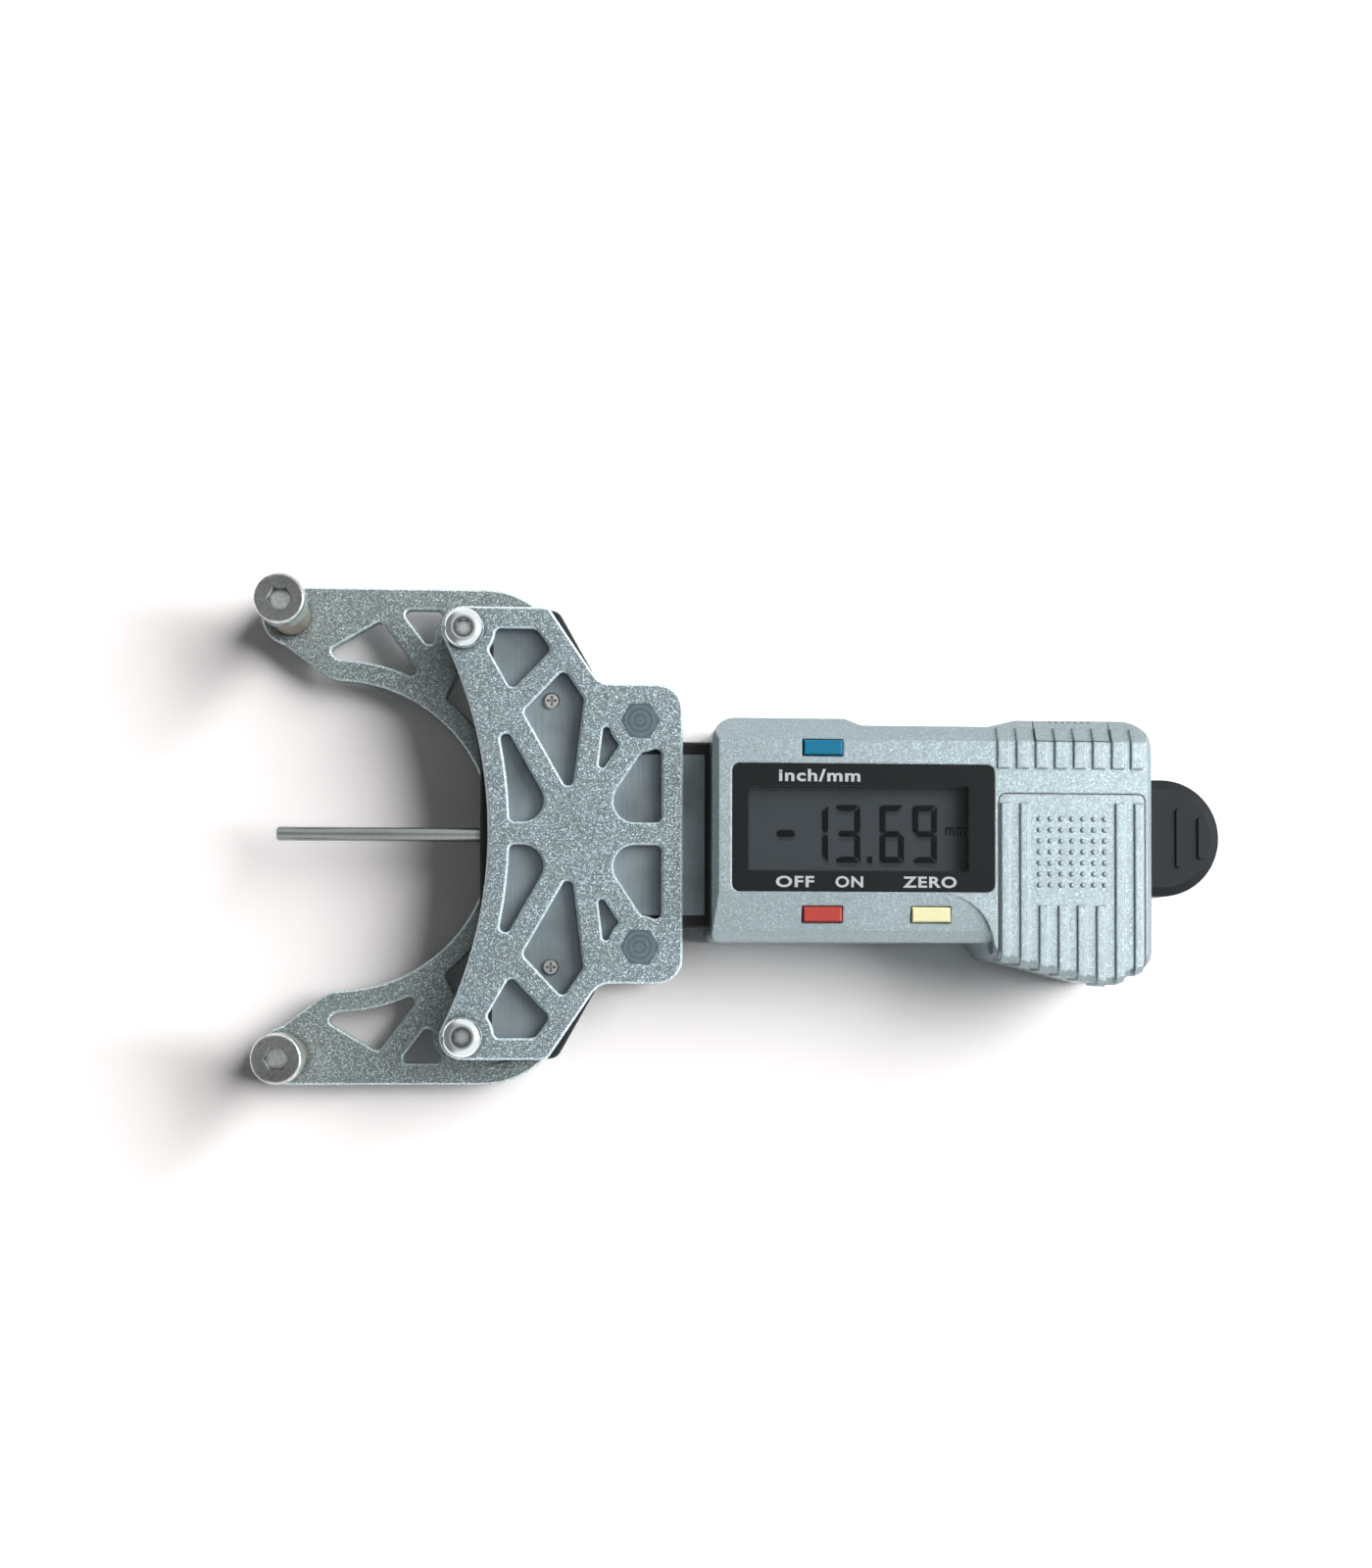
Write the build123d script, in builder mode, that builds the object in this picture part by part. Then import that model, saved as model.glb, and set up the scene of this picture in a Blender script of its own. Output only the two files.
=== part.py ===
from build123d import *
import math
import os

# Digital belt tension gauge: a depth gauge with a T shaped base clamped between two lightened
# plates. The belt lies on the two posts and the probe pushes it in between them.
# The long axis is X, with the probe on the left, Y runs across and Z is up, off the table.
# Every x below is measured from the beam's measuring face, the flat end that the probe leaves.

# Fits that several pieces share
part_gap = 0.1
press_clearance = 0.02
thread_clearance = 0.03
screw_clearance = 0.1

# Probe, slide and tab
probe_diameter = 2.0
probe_reach = 28.7
probe_grip = 8.0
probe_tip_chamfer = 0.25
guide_clearance = 0.05
guide_wall = 4.0
slider_width = 8.0
slider_thickness = 3.0
slider_clearance = 0.15
slider_nose_chamfer = 0.6
tab_length = 11.2
tab_width = 16.8
tab_gap = 0.3
tab_rim = 1.3
tab_rim_drop = 0.6
tab_rib_width = 0.9
tab_rib_height = 0.35
tab_ribs = [(5.2, 8.6), (8.4, 6.0)]
tab_socket_depth = 5.0
tab_pin_diameter = 1.6
tab_pin_length = 5.0
spring_x = 70.0
spring_length = 18.0
spring_width = 5.0
spring_gap = 0.3
spring_groove = 0.8
spring_sheet = 0.2
spring_clearance = 0.1

# Beam, its steel face and the tiny screws that hold the face
beam_width = 63.4
beam_thickness = 6.0
beam_end_depth = 10.9
beam_shoulder_end = 21.3
beam_corner = 1.8
beam_edge_break = 0.3
stem_width = 26.4
stem_tail_width = 18.0
stem_tail_inset = 3.2
face_border = 1.8
face_thickness = 0.4
face_head_gap = 0.7
face_screw_x = 10.0
face_screw_y = 18.8
face_screw_head = 2.3
face_screw_head_height = 0.5
face_screw_edge_break = 0.2
face_screw_slot = 0.35
face_screw_shank = 1.4
face_screw_length = 3.0

# Plates. A strut's ends are given as shifts from the hub, hole or edge that carries them.
plate_thickness = 2.0
plate_edge_break = 0.3
rim = 3.05
strut = 3.2
window_corner = 0.8
slit_corner = 0.5
window_hub_corner = 3.0
smallest_window = 8.0
large_window = 15.0
hub_reach = 6.0
plate_end = 28.5
plate_tail_width = 42.2
plate_tail_corner = 3.6
shoulder_fillet = 3.0
shoulder_slope = 0.678
boss_radius = 4.45
hub_x = 13.8
shoulder_strut_foot_shift = (2.6, -0.1)
standoff_strut_shifts = ((-0.6, 0), (1.15, -0.15))
cross_strut_shifts = ((-10.2, 16.8), (-1.4, -5.6))
arm_cross_strut_shifts = ((0.2, -5.9), (14.2, 2.3))
arm_long_strut_shifts = ((12.3, -1.55), (-2.95, -7.2))
arm_short_foot_shift = (-5.7, -11.1)
front_shoulder_x = 9.5
front_shoulder_corner = 1.5
front_throat_x = 1.1
front_tip_land = 3.13
front_tip_radius = 3.2
rear_shoulder_corner = 12.0
rear_throat_radius = 22.2
rear_throat_x = 1.6
rear_tip_radius = 4.25
rear_flank_slope = 0.76
rear_flank_offset = 3.85
rear_flank_corner = 5.0

# Posts and plate hardware
post_x = -27.2
post_spacing = 62.8
post_screw_diameter = 4.0
post_head_diameter = 7.0
post_head_height = 4.0
post_socket = 3.0
post_socket_depth = 2.0
post_head_round = 0.4
post_nut_size = 7.0
post_nut_height = 2.2
post_screw_stand = 0.2
sleeve_diameter = 5.6
sleeve_height = 10.5
spacer_x = -2.35
spacer_spacing = 57.2
spacer_diameter = 4.2
plate_screw_diameter = 3.0
button_head_diameter = 5.7
button_head_height = 1.65
button_head_round = 1.15
button_socket = 2.0
button_socket_depth = 1.0
plate_nut_size = 5.5
plate_nut_height = 1.8
standoff_end_inset = 6.05
standoff_side_inset = 5.15
standoff_barrel = 4.2
standoff_hex = 4.75
standoff_hex_height = 1.2
standoff_thread_depth = 4.0

# Display head: the outline's steps follow the window, the buttons and the battery cover
head_start = 32.4
head_wall = 1.6
head_top_margin = 6.6
head_low_margin = 7.1
head_top_corner = 3.3
head_end_corner = 4.2
head_bottom_corner = 1.2
head_edge_break = 0.8
dip_depth = 1.0
dip_lead = 3.4
dip_overlap = 2.7
dip_fall = 2.2
dip_rise = 4.0
dip_corner = 1.5
grip_lead = 2.0
grip_step_x = 1.6
grip_step_y = 2.1
grip_step_corner = 2.0
grip_low_corner = 5.0
grip_end_corner = 3.0
grip_low_inset = 6.3
grip_low_drop = 6.1
grip_end_drop = 3.0
top_bevel_width = 3.15
top_bevel_drop = 2.0
facet_margin = 0.2
facet_drop = 0.8
bottom_bevel_width = 1.5
bottom_bevel_drop = 1.6
facet_end_radius = 7.8
rear_edge_break = 1.0
side_pocket_margin = 1.7
side_pocket_inset = 6.7
shell_screw_diameter = 2.0
shell_screw_head = 3.8
shell_screw_length = 13.2
shell_boss = 4.2
left_boss_inset = 5.2
upper_boss_inset = 4.55
lower_boss_inset = 3.5
right_screw_inset = 3.3
upper_screw_inset = 4.85
lower_screw_inset = 1.0
stem_screw_inset = 11.6
stem_screw_y = 6.6
stem_screw_length = 9.0
cross_share = 0.6
cross_width = 0.5
cross_depth = 0.6

# Display window, display and circuit board
window_y = -8.1
window_margin = 2.8
window_thickness = 1.2
window_corner_radius = 1.0
window_sink = 0.05
view_length = 31.0
view_width = 12.0
view_ledge = 0.5
border_left = 2.2
border_right = 3.6
border_low = 2.75
border_top = 3.0
display_border = 0.6
display_thickness = 1.6
strip_width = 1.4
strip_height = 1.4
board_thickness = 1.0
board_margin = 0.5

# Buttons
button_length = 5.45
button_width = 2.1
button_gap = 0.15
button_stand = 0.3
button_flange = 0.5
button_flange_thickness = 1.0
button_travel = 0.5
button_round = 0.25
left_button_lead = 12.6
zero_button_lead = 27.9
unit_button_margin = 2.3
lower_button_margin = 3.25
dome_diameter = 2.6
dome_height = 0.3

# Battery compartment and data port
cell_diameter = 20.0
cell_height = 3.2
cell_edge_break = 0.3
cell_clearance = 0.3
cell_wall = 1.3
contact_thickness = 0.2
contact_width = 3.6
contact_length = 12.0
contact_height = 2.6
contact_notch = 0.5
cover_margin = 0.7
cover_end_wall = 1.2
cover_side_lap = 0.4
cover_top_lap = 0.9
cover_thickness = 1.6
cover_corner = 1.0
cover_skirt = 1.4
skirt_gap = 0.3
cover_tongue = 0.5
tongue_height = 0.6
tongue_inset = 2.0
tongue_end_inset = 1.2
port_drop = 4.2
port_skin = 1.2
port_contact_count = 4
port_contact_width = 1.2
port_contact_pitch = 2.4
port_contact_height = 2.0

# Grip ribs on the head and on the battery cover
rib_height = 0.35
rib_width = 1.75
rib_pitch = 2.72
rib_count = 8
rib_lead = 0.2
rib_face_reach = 3.8
rib_bevel_reach = 2.0
cover_rib_width = 1.25
cover_rib_inset = 1.3
cover_short_rib_drop = 4.8
cover_long_ribs = [0, 1, 6, 7]

# Levels above the table: the beam between its plates, then the stack of the display head
rear_plate_z = post_nut_height + post_screw_stand
beam_z = rear_plate_z + plate_thickness
front_plate_z = beam_z + beam_thickness
front_top_z = front_plate_z + plate_thickness
axis_z = beam_z + beam_thickness / 2
post_head_z = beam_z + sleeve_height
board_z = front_plate_z + part_gap
board_top = board_z + board_thickness
display_z = board_top + strip_height
ceiling_z = display_z + display_thickness
window_z = ceiling_z + view_ledge
head_height = window_z + window_thickness

# The plates' widths follow the hardware at their tips, and the standoffs follow the tail.
# The front plate's throat is the arc that passes the spacers at the tip's land.
front_width = spacer_spacing + 2 * front_tip_radius
rear_width = post_spacing + 2 * rear_tip_radius
spacer_lead = front_throat_x - spacer_x
tip_span = spacer_lead**2 + (spacer_spacing / 2) ** 2
front_throat_radius = (tip_span - front_tip_land**2) / (2 * (front_tip_land + spacer_lead))
standoff_x = plate_end - standoff_end_inset
standoff_spacing = plate_tail_width - 2 * standoff_side_inset

# The head lengthwise: window, battery cover and end wall follow one another
window_x = head_start + window_margin
window_length = border_left + view_length + border_right
window_end = window_x + window_length
cover_start = window_end + cover_margin
cover_length = cell_diameter + 2 * cover_side_lap
cover_end = cover_start + cover_length
head_end = cover_end + cover_end_wall
cell_x = cover_start + cover_length / 2
stem_tail_end = head_end - stem_tail_inset
face_end = head_start - face_head_gap
left_button_x = window_x + left_button_lead
zero_button_x = window_x + zero_button_lead
rib_start = cover_start - rib_lead
cover_rib_start = rib_start + rib_width - cover_rib_width

# The head across: its edges follow the window, and the cell's pocket follows the lower edge
window_width = border_low + view_width + border_top
window_top = window_y + window_width
head_top = window_top + head_top_margin
head_bottom = window_y - head_low_margin
cell_y = head_bottom + cell_diameter / 2
cover_top_y = cell_y + cell_diameter / 2 + cover_top_lap

# The origin lies under the middle of the whole length, on the table
tab_start = head_end + tab_gap
left_reach = max(probe_reach, rear_tip_radius - post_x)
overall_length = left_reach + tab_start + tab_length
face_x = left_reach - overall_length / 2

post = (post_x, post_spacing / 2)
spacer = (spacer_x, spacer_spacing / 2)
standoff = (standoff_x, standoff_spacing / 2)


def mirrored(point):
    """A place in the upper half and its mirror image in the lower half."""
    return [(point[0], -point[1]), point]


def shifted(point, shift):
    """A place moved by a shift."""
    return (point[0] + shift[0], point[1] + shift[1])


post_centres = mirrored(post)
spacer_centres = mirrored(spacer)
standoff_centres = mirrored(standoff)
face_screw_centres = mirrored((face_screw_x, face_screw_y))
stem_screw_centres = mirrored((head_start + stem_screw_inset, stem_screw_y))
left_boss_x = head_start + left_boss_inset
left_boss_centres = [
    (left_boss_x, head_bottom + lower_boss_inset),
    (left_boss_x, head_top - upper_boss_inset),
]
right_screw_x = head_end - right_screw_inset
right_screw_centres = [
    (right_screw_x, head_bottom + lower_screw_inset),
    (right_screw_x, head_top - upper_screw_inset),
]

os.makedirs("parts", exist_ok=True)


def level(z):
    """A plane parallel to the table at height z."""
    return Plane(origin=(face_x, 0, z))


def upright(x):
    """A plane square to the long axis at x: its own x runs along Y and its own y upwards."""
    return Plane(origin=(face_x + x, 0, 0), x_dir=(0, 1, 0), z_dir=(1, 0, 0))


def finish(piece, label):
    """Name a finished piece and write it out."""
    piece.label = label
    export_step(piece, f"parts/{label}.step")


def shoulder_x(y, start_x, half_width, inset):
    """Where the slanted shoulder of a plate, moved in by inset, crosses the height y."""
    moved = start_x - inset * math.hypot(1, shoulder_slope)
    return moved + (half_width - y) * shoulder_slope


def front_half(inset):
    """Upper half of the front plate's outline, moved in by inset."""
    half = front_width / 2
    top = half - inset
    tail = plate_tail_width / 2 - inset
    tip_left = spacer_x - front_tip_radius
    throat_centre = front_throat_x - front_throat_radius
    with BuildSketch() as half_plate:
        with BuildLine():
            FilletPolyline(
                (tip_left, 0),
                (tip_left, spacer_spacing / 2),
                (spacer_x, top),
                (shoulder_x(top, front_shoulder_x, half, inset), top),
                (shoulder_x(tail, front_shoulder_x, half, inset), tail),
                (plate_end - inset, tail),
                (plate_end - inset, 0),
                radius=[0, 0, front_shoulder_corner, shoulder_fillet, plate_tail_corner],
            )
            Line((plate_end - inset, 0), (tip_left, 0))
        make_face()
        if inset < front_tip_radius / 2:
            with Locations((spacer_x, spacer_spacing / 2)):
                Circle(front_tip_radius - inset)
        with Locations((throat_centre, 0)):
            Circle(front_throat_radius + inset, mode=Mode.SUBTRACT)
    return half_plate.sketch


def rear_half(inset):
    """Upper half of the rear plate's outline, with its long arm, moved in by inset."""
    half = rear_width / 2
    top = half - inset
    tail = plate_tail_width / 2 - inset
    start_x = front_shoulder_x - (rear_width - front_width) / 2 * shoulder_slope
    throat_centre = rear_throat_x - rear_throat_radius
    throat_radius = rear_throat_radius + inset
    flank_angle = -math.atan(rear_flank_slope)
    flank = Vector(math.cos(flank_angle), math.sin(flank_angle))
    foot = Vector(*post) + Vector(flank.Y, -flank.X) * (rear_flank_offset - inset)
    nearest = foot + flank * (Vector(throat_centre, 0) - foot).dot(flank)
    half_chord = math.sqrt(throat_radius**2 - (nearest - Vector(throat_centre, 0)).length ** 2)
    flank_end = nearest - flank * half_chord
    with BuildSketch() as half_plate:
        with BuildLine():
            FilletPolyline(
                (nearest.X, 0),
                (nearest.X, nearest.Y),
                (foot.X, foot.Y),
                (post_x, top),
                (shoulder_x(top, start_x, half, inset), top),
                (shoulder_x(tail, start_x, half, inset), tail),
                (plate_end - inset, tail),
                (plate_end - inset, 0),
                radius=[0, 0, 0, rear_shoulder_corner - inset, shoulder_fillet, plate_tail_corner],
            )
            Line((plate_end - inset, 0), (nearest.X, 0))
        make_face()
        with Locations((throat_centre, 0)):
            Circle(throat_radius, mode=Mode.SUBTRACT)
        if inset < rear_tip_radius / 2:
            with Locations(post):
                Circle(rear_tip_radius - inset)
        fillet(half_plate.vertices().sort_by_distance(flank_end)[0], rear_flank_corner - inset)
    return half_plate.sketch


def windows(area, struts, bosses):
    """Openings left in one half of a plate between its rim, its struts and its bosses."""
    with BuildSketch() as openings:
        add(area)
        with Locations((hub_x, 0)):
            Rectangle(overall_length, strut, mode=Mode.SUBTRACT)
        for start, end in struts:
            length = math.dist(start, end)
            angle = math.degrees(math.atan2(end[1] - start[1], end[0] - start[0]))
            with Locations(((start[0] + end[0]) / 2, (start[1] + end[1]) / 2)):
                Rectangle(length, strut, rotation=angle, mode=Mode.SUBTRACT)
        with Locations(*bosses):
            Circle(boss_radius, mode=Mode.SUBTRACT)
    return openings.sketch


def round_windows(openings):
    """The openings as a round cutter leaves them, wider where the middle strut meets the hub."""
    with BuildSketch() as rounded:
        for opening in openings.faces():
            corner = window_corner if opening.area > large_window else slit_corner
            low = [v for v in opening.vertices() if v.Y < strut]
            at_hub = [v for v in low if math.hypot(v.X - hub_x, v.Y) < hub_reach]
            if at_hub:
                opening = opening.fillet_2d(window_hub_corner, at_hub)
            if opening.area > smallest_window:
                narrowed = offset(opening, amount=-corner, mode=Mode.PRIVATE)
                offset(narrowed, amount=corner, mode=Mode.ADD)
    return rounded.sketch


def whole_plate(half, openings):
    """A plate's full profile from its upper half and the windows in that half."""
    with BuildSketch() as profile:
        add(half)
        add(openings, mode=Mode.SUBTRACT)
        mirror(about=Plane.XZ)
    return profile.sketch


def nuts(centres, size, height, bore, top):
    """Hexagon nuts of one size that hang below the level called top."""
    with BuildPart() as group:
        with BuildSketch(level(top)):
            with Locations(*centres):
                RegularPolygon(size / 2, 6, major_radius=False)
                Circle(bore / 2, mode=Mode.SUBTRACT)
        extrude(amount=-height)
    return group.part


def socket_screws(centres, seat, up, head, socket, shank):
    """Screws with round heads: head is (diameter, height, rounding), socket (size, depth),
    shank (diameter, length), and up is 1 for heads above the seat or -1 for heads below it."""
    with BuildPart() as group:
        with BuildSketch(level(seat)):
            with Locations(*centres):
                Circle(head[0] / 2)
        extrude(amount=up * head[1])
        crown = group.faces().sort_by(Axis.Z)[-1 if up > 0 else 0]
        fillet(group.edges().filter_by_position(Axis.Z, crown.center().Z, crown.center().Z), head[2])
        with BuildSketch(level(seat + up * head[1])):
            with Locations(*centres):
                RegularPolygon(socket[0] / 2, 6, major_radius=False)
        extrude(amount=-up * socket[1], mode=Mode.SUBTRACT)
        with BuildSketch(level(seat)):
            with Locations(*centres):
                Circle(shank[0] / 2)
        extrude(amount=-up * shank[1])
    return group.part


def countersunk_screws(centres, head, shank, length):
    """Small countersunk screws driven in from the table side, with cross recesses."""
    sink = (head - shank) / 2
    with BuildPart() as group:
        with Locations(*[(face_x + x, y, length / 2) for x, y in centres]):
            Cylinder(shank / 2, length)
        with Locations(*[(face_x + x, y, sink / 2) for x, y in centres]):
            Cone(head / 2, shank / 2, sink)
        with Locations(*[(face_x + x, y, 0) for x, y in centres]):
            Box(head * cross_share, cross_width, cross_depth, mode=Mode.SUBTRACT)
            Box(cross_width, head * cross_share, cross_depth, mode=Mode.SUBTRACT)
    return group.part


def countersinks(centres, head, shank, depth):
    """The holes that take countersunk screws, to be cut from below."""
    bore = shank / 2 + screw_clearance / 2
    sink = (head - shank) / 2
    with BuildPart() as group:
        with Locations(*[(face_x + x, y, depth / 2) for x, y in centres]):
            Cylinder(bore, depth)
        with Locations(*[(face_x + x, y, sink / 2) for x, y in centres]):
            Cone(head / 2 + screw_clearance / 2, bore, sink)
    return group.part


# Plates
# Both are cut from sheet and lightened by windows between a rim, straight struts that meet at
# a hub behind the probe, and round bosses for the hardware. The rear plate has two long arms.
hub = (hub_x, 0)
tail_edge = (hub_x, plate_tail_width / 2)
front_edge = (hub_x, front_width / 2)
arm_edge = (post_x, rear_width / 2)
shared_struts = [
    (hub, spacer),
    (hub, shifted(tail_edge, shoulder_strut_foot_shift)),
    (shifted(hub, standoff_strut_shifts[0]), shifted(standoff, standoff_strut_shifts[1])),
    (shifted(hub, cross_strut_shifts[0]), shifted(front_edge, cross_strut_shifts[1])),
]
arm_struts = [
    (shifted(post, arm_cross_strut_shifts[0]), shifted(post, arm_cross_strut_shifts[1])),
    (shifted(arm_edge, arm_long_strut_shifts[0]), shifted(spacer, arm_long_strut_shifts[1])),
    (spacer, shifted(spacer, arm_short_foot_shift)),
]
front_openings = round_windows(windows(front_half(rim), shared_struts, [spacer, standoff]))
rear_openings = round_windows(windows(rear_half(rim), shared_struts + arm_struts, [spacer, standoff, post]))
front_profile = whole_plate(front_half(0), front_openings)
rear_profile = whole_plate(rear_half(0), rear_openings)

with BuildPart() as rear_plate:
    with BuildSketch(level(rear_plate_z)):
        add(rear_profile)
        with Locations(*post_centres):
            Circle(post_screw_diameter / 2 + screw_clearance, mode=Mode.SUBTRACT)
        with Locations(*spacer_centres, *standoff_centres):
            Circle(plate_screw_diameter / 2 + screw_clearance, mode=Mode.SUBTRACT)
    extrude(amount=plate_thickness)
    chamfer(rear_plate.faces().sort_by(Axis.Z)[-1].edges(), plate_edge_break)
finish(rear_plate.part, "rear_plate")

with BuildPart() as front_plate:
    with BuildSketch(level(front_plate_z)):
        add(front_profile)
        with Locations(*spacer_centres):
            Circle(plate_screw_diameter / 2 + screw_clearance, mode=Mode.SUBTRACT)
    extrude(amount=plate_thickness)
    chamfer(front_plate.faces().sort_by(Axis.Z)[-1].edges(), plate_edge_break)
    with BuildSketch(level(front_plate_z)):
        with Locations(*standoff_centres):
            Circle(standoff_barrel / 2 + press_clearance)
    extrude(amount=plate_thickness, mode=Mode.SUBTRACT)
    with BuildSketch(level(front_top_z)):
        with Locations(*standoff_centres):
            RegularPolygon(standoff_hex / 2 + press_clearance, 6, major_radius=False)
    extrude(amount=-standoff_hex_height, mode=Mode.SUBTRACT)
finish(front_plate.part, "front_plate")

# Hardware that clamps the plates on the beam
finish(
    socket_screws(
        spacer_centres,
        front_top_z,
        1,
        (button_head_diameter, button_head_height, button_head_round),
        (button_socket, button_socket_depth),
        (plate_screw_diameter, front_top_z - rear_plate_z + plate_nut_height + post_screw_stand),
    ),
    "plate_screws",
)

with BuildPart() as plate_spacers:
    with BuildSketch(level(beam_z)):
        with Locations(*spacer_centres):
            Circle(spacer_diameter / 2)
            Circle(plate_screw_diameter / 2 + screw_clearance, mode=Mode.SUBTRACT)
    extrude(amount=beam_thickness)
finish(plate_spacers.part, "plate_spacers")

plate_nut_bore = plate_screw_diameter + 2 * thread_clearance
finish(nuts(spacer_centres, plate_nut_size, plate_nut_height, plate_nut_bore, rear_plate_z), "plate_nuts")

with BuildPart() as standoffs:
    with BuildSketch(level(beam_z)):
        with Locations(*standoff_centres):
            Circle(standoff_barrel / 2)
    extrude(amount=front_top_z - beam_z)
    with BuildSketch(level(front_top_z)):
        with Locations(*standoff_centres):
            RegularPolygon(standoff_hex / 2, 6, major_radius=False)
    extrude(amount=-standoff_hex_height)
    with BuildSketch(level(beam_z)):
        with Locations(*standoff_centres):
            Circle(plate_screw_diameter / 2 + thread_clearance)
    extrude(amount=standoff_thread_depth + thread_clearance, mode=Mode.SUBTRACT)
finish(standoffs.part, "standoffs")

finish(
    socket_screws(
        standoff_centres,
        rear_plate_z,
        -1,
        (button_head_diameter, button_head_height, button_head_round),
        (button_socket, button_socket_depth),
        (plate_screw_diameter, plate_thickness + standoff_thread_depth),
    ),
    "standoff_screws",
)

# Posts that the belt lies on: a sleeve on a cap screw, with a thin nut behind the plate
finish(
    socket_screws(
        post_centres,
        post_head_z,
        1,
        (post_head_diameter, post_head_height, post_head_round),
        (post_socket, post_socket_depth),
        (post_screw_diameter, post_head_z),
    ),
    "post_screws",
)

with BuildPart() as post_sleeves:
    with BuildSketch(level(beam_z)):
        with Locations(*post_centres):
            Circle(sleeve_diameter / 2)
            Circle(post_screw_diameter / 2 + screw_clearance, mode=Mode.SUBTRACT)
    extrude(amount=sleeve_height)
finish(post_sleeves.part, "post_sleeves")

post_nut_bore = post_screw_diameter + 2 * thread_clearance
finish(nuts(post_centres, post_nut_size, post_nut_height, post_nut_bore, rear_plate_z), "post_nuts")

# Beam: the moulded T with its stem, bored for the probe and hollow for the slider bar
channel_width = slider_width + 2 * slider_clearance
channel_height = slider_thickness + 2 * slider_clearance
channel_floor = axis_z - channel_height / 2
stem_wide_end = head_start + head_wall
face_level = front_plate_z - face_thickness


def beam_half(border, end):
    """Upper half of the T's outline, moved in by border, with the stem cut off at end."""
    slope = (beam_width - stem_width) / 2 / (beam_shoulder_end - beam_end_depth)
    shift = border * math.hypot(1, 1 / slope)
    top = beam_width / 2 - border
    neck = stem_width / 2 - border
    with BuildSketch() as half:
        with BuildLine():
            FilletPolyline(
                (border, 0),
                (border, top),
                (beam_end_depth - shift + border / slope, top),
                (beam_shoulder_end - shift + border / slope, neck),
                (end, neck),
                (end, 0),
                radius=[beam_edge_break, beam_corner, beam_edge_break, 0],
            )
            Line((end, 0), (border, 0))
        make_face()
        mirror(about=Plane.XZ)
    return half.sketch


beam_profile = beam_half(0, stem_wide_end)
face_profile = beam_half(face_border, face_end)

with BuildPart() as t_beam:
    with BuildSketch(level(beam_z)):
        add(beam_profile)
        with Locations(((stem_wide_end + stem_tail_end) / 2, 0)):
            Rectangle(stem_tail_end - stem_wide_end, stem_tail_width)
    extrude(amount=beam_thickness)
    chamfer(t_beam.faces().sort_by(Axis.Z)[-1].edges(), beam_edge_break)
    with BuildSketch(level(face_level)):
        add(face_profile)
    extrude(amount=beam_thickness, mode=Mode.SUBTRACT)
    with BuildSketch(upright(guide_wall)):
        with Locations((0, axis_z)):
            Rectangle(channel_width, channel_height)
    extrude(amount=stem_tail_end, mode=Mode.SUBTRACT)
    with BuildSketch(upright(0)):
        with Locations((0, axis_z)):
            Circle(probe_diameter / 2 + guide_clearance)
    extrude(amount=guide_wall, mode=Mode.SUBTRACT)
    with BuildSketch(level(channel_floor)):
        with Locations((spring_x, 0)):
            Rectangle(spring_length + 2 * spring_gap, spring_width + 2 * spring_gap)
    extrude(amount=-spring_groove, mode=Mode.SUBTRACT)
    with BuildSketch(level(face_level)):
        with Locations(*face_screw_centres):
            Circle(face_screw_shank / 2 + thread_clearance)
    extrude(amount=face_thickness - face_screw_length - part_gap, mode=Mode.SUBTRACT)
    with BuildSketch(level(beam_z)):
        with Locations(*stem_screw_centres):
            Circle(shell_screw_diameter / 2 + thread_clearance)
    extrude(amount=stem_screw_length + part_gap - beam_z, mode=Mode.SUBTRACT)
finish(t_beam.part, "t_beam")

with BuildPart() as beam_face:
    with BuildSketch(level(face_level)):
        add(face_profile)
        with Locations(*face_screw_centres):
            Circle(face_screw_shank / 2 + thread_clearance, mode=Mode.SUBTRACT)
    extrude(amount=face_thickness)
finish(beam_face.part, "beam_face")

with BuildPart() as face_screws:
    with BuildSketch(level(front_plate_z)):
        with Locations(*face_screw_centres):
            Circle(face_screw_head / 2)
    extrude(amount=face_screw_head_height)
    chamfer(face_screws.edges().group_by(Axis.Z)[-1], face_screw_edge_break)
    with BuildSketch(level(front_plate_z + face_screw_head_height)):
        with Locations(*face_screw_centres):
            Rectangle(face_screw_head * cross_share, face_screw_slot)
            Rectangle(face_screw_slot, face_screw_head * cross_share)
    extrude(amount=-face_screw_slot, mode=Mode.SUBTRACT)
    with BuildSketch(level(front_plate_z)):
        with Locations(*face_screw_centres):
            Circle(face_screw_shank / 2)
    extrude(amount=-face_screw_length)
finish(face_screws.part, "face_screws")

# Sliding set: probe, bar and push tab move together
nose_x = guide_wall + slider_clearance
bar_end = tab_start + tab_socket_depth
bar_height = slider_thickness / 2

with BuildPart() as probe_rod:
    with BuildSketch(upright(-probe_reach)):
        with Locations((0, axis_z)):
            Circle(probe_diameter / 2)
    extrude(amount=probe_reach + nose_x + probe_grip)
    chamfer(probe_rod.edges().group_by(Axis.X)[0], probe_tip_chamfer)
finish(probe_rod.part, "probe_rod")

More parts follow.
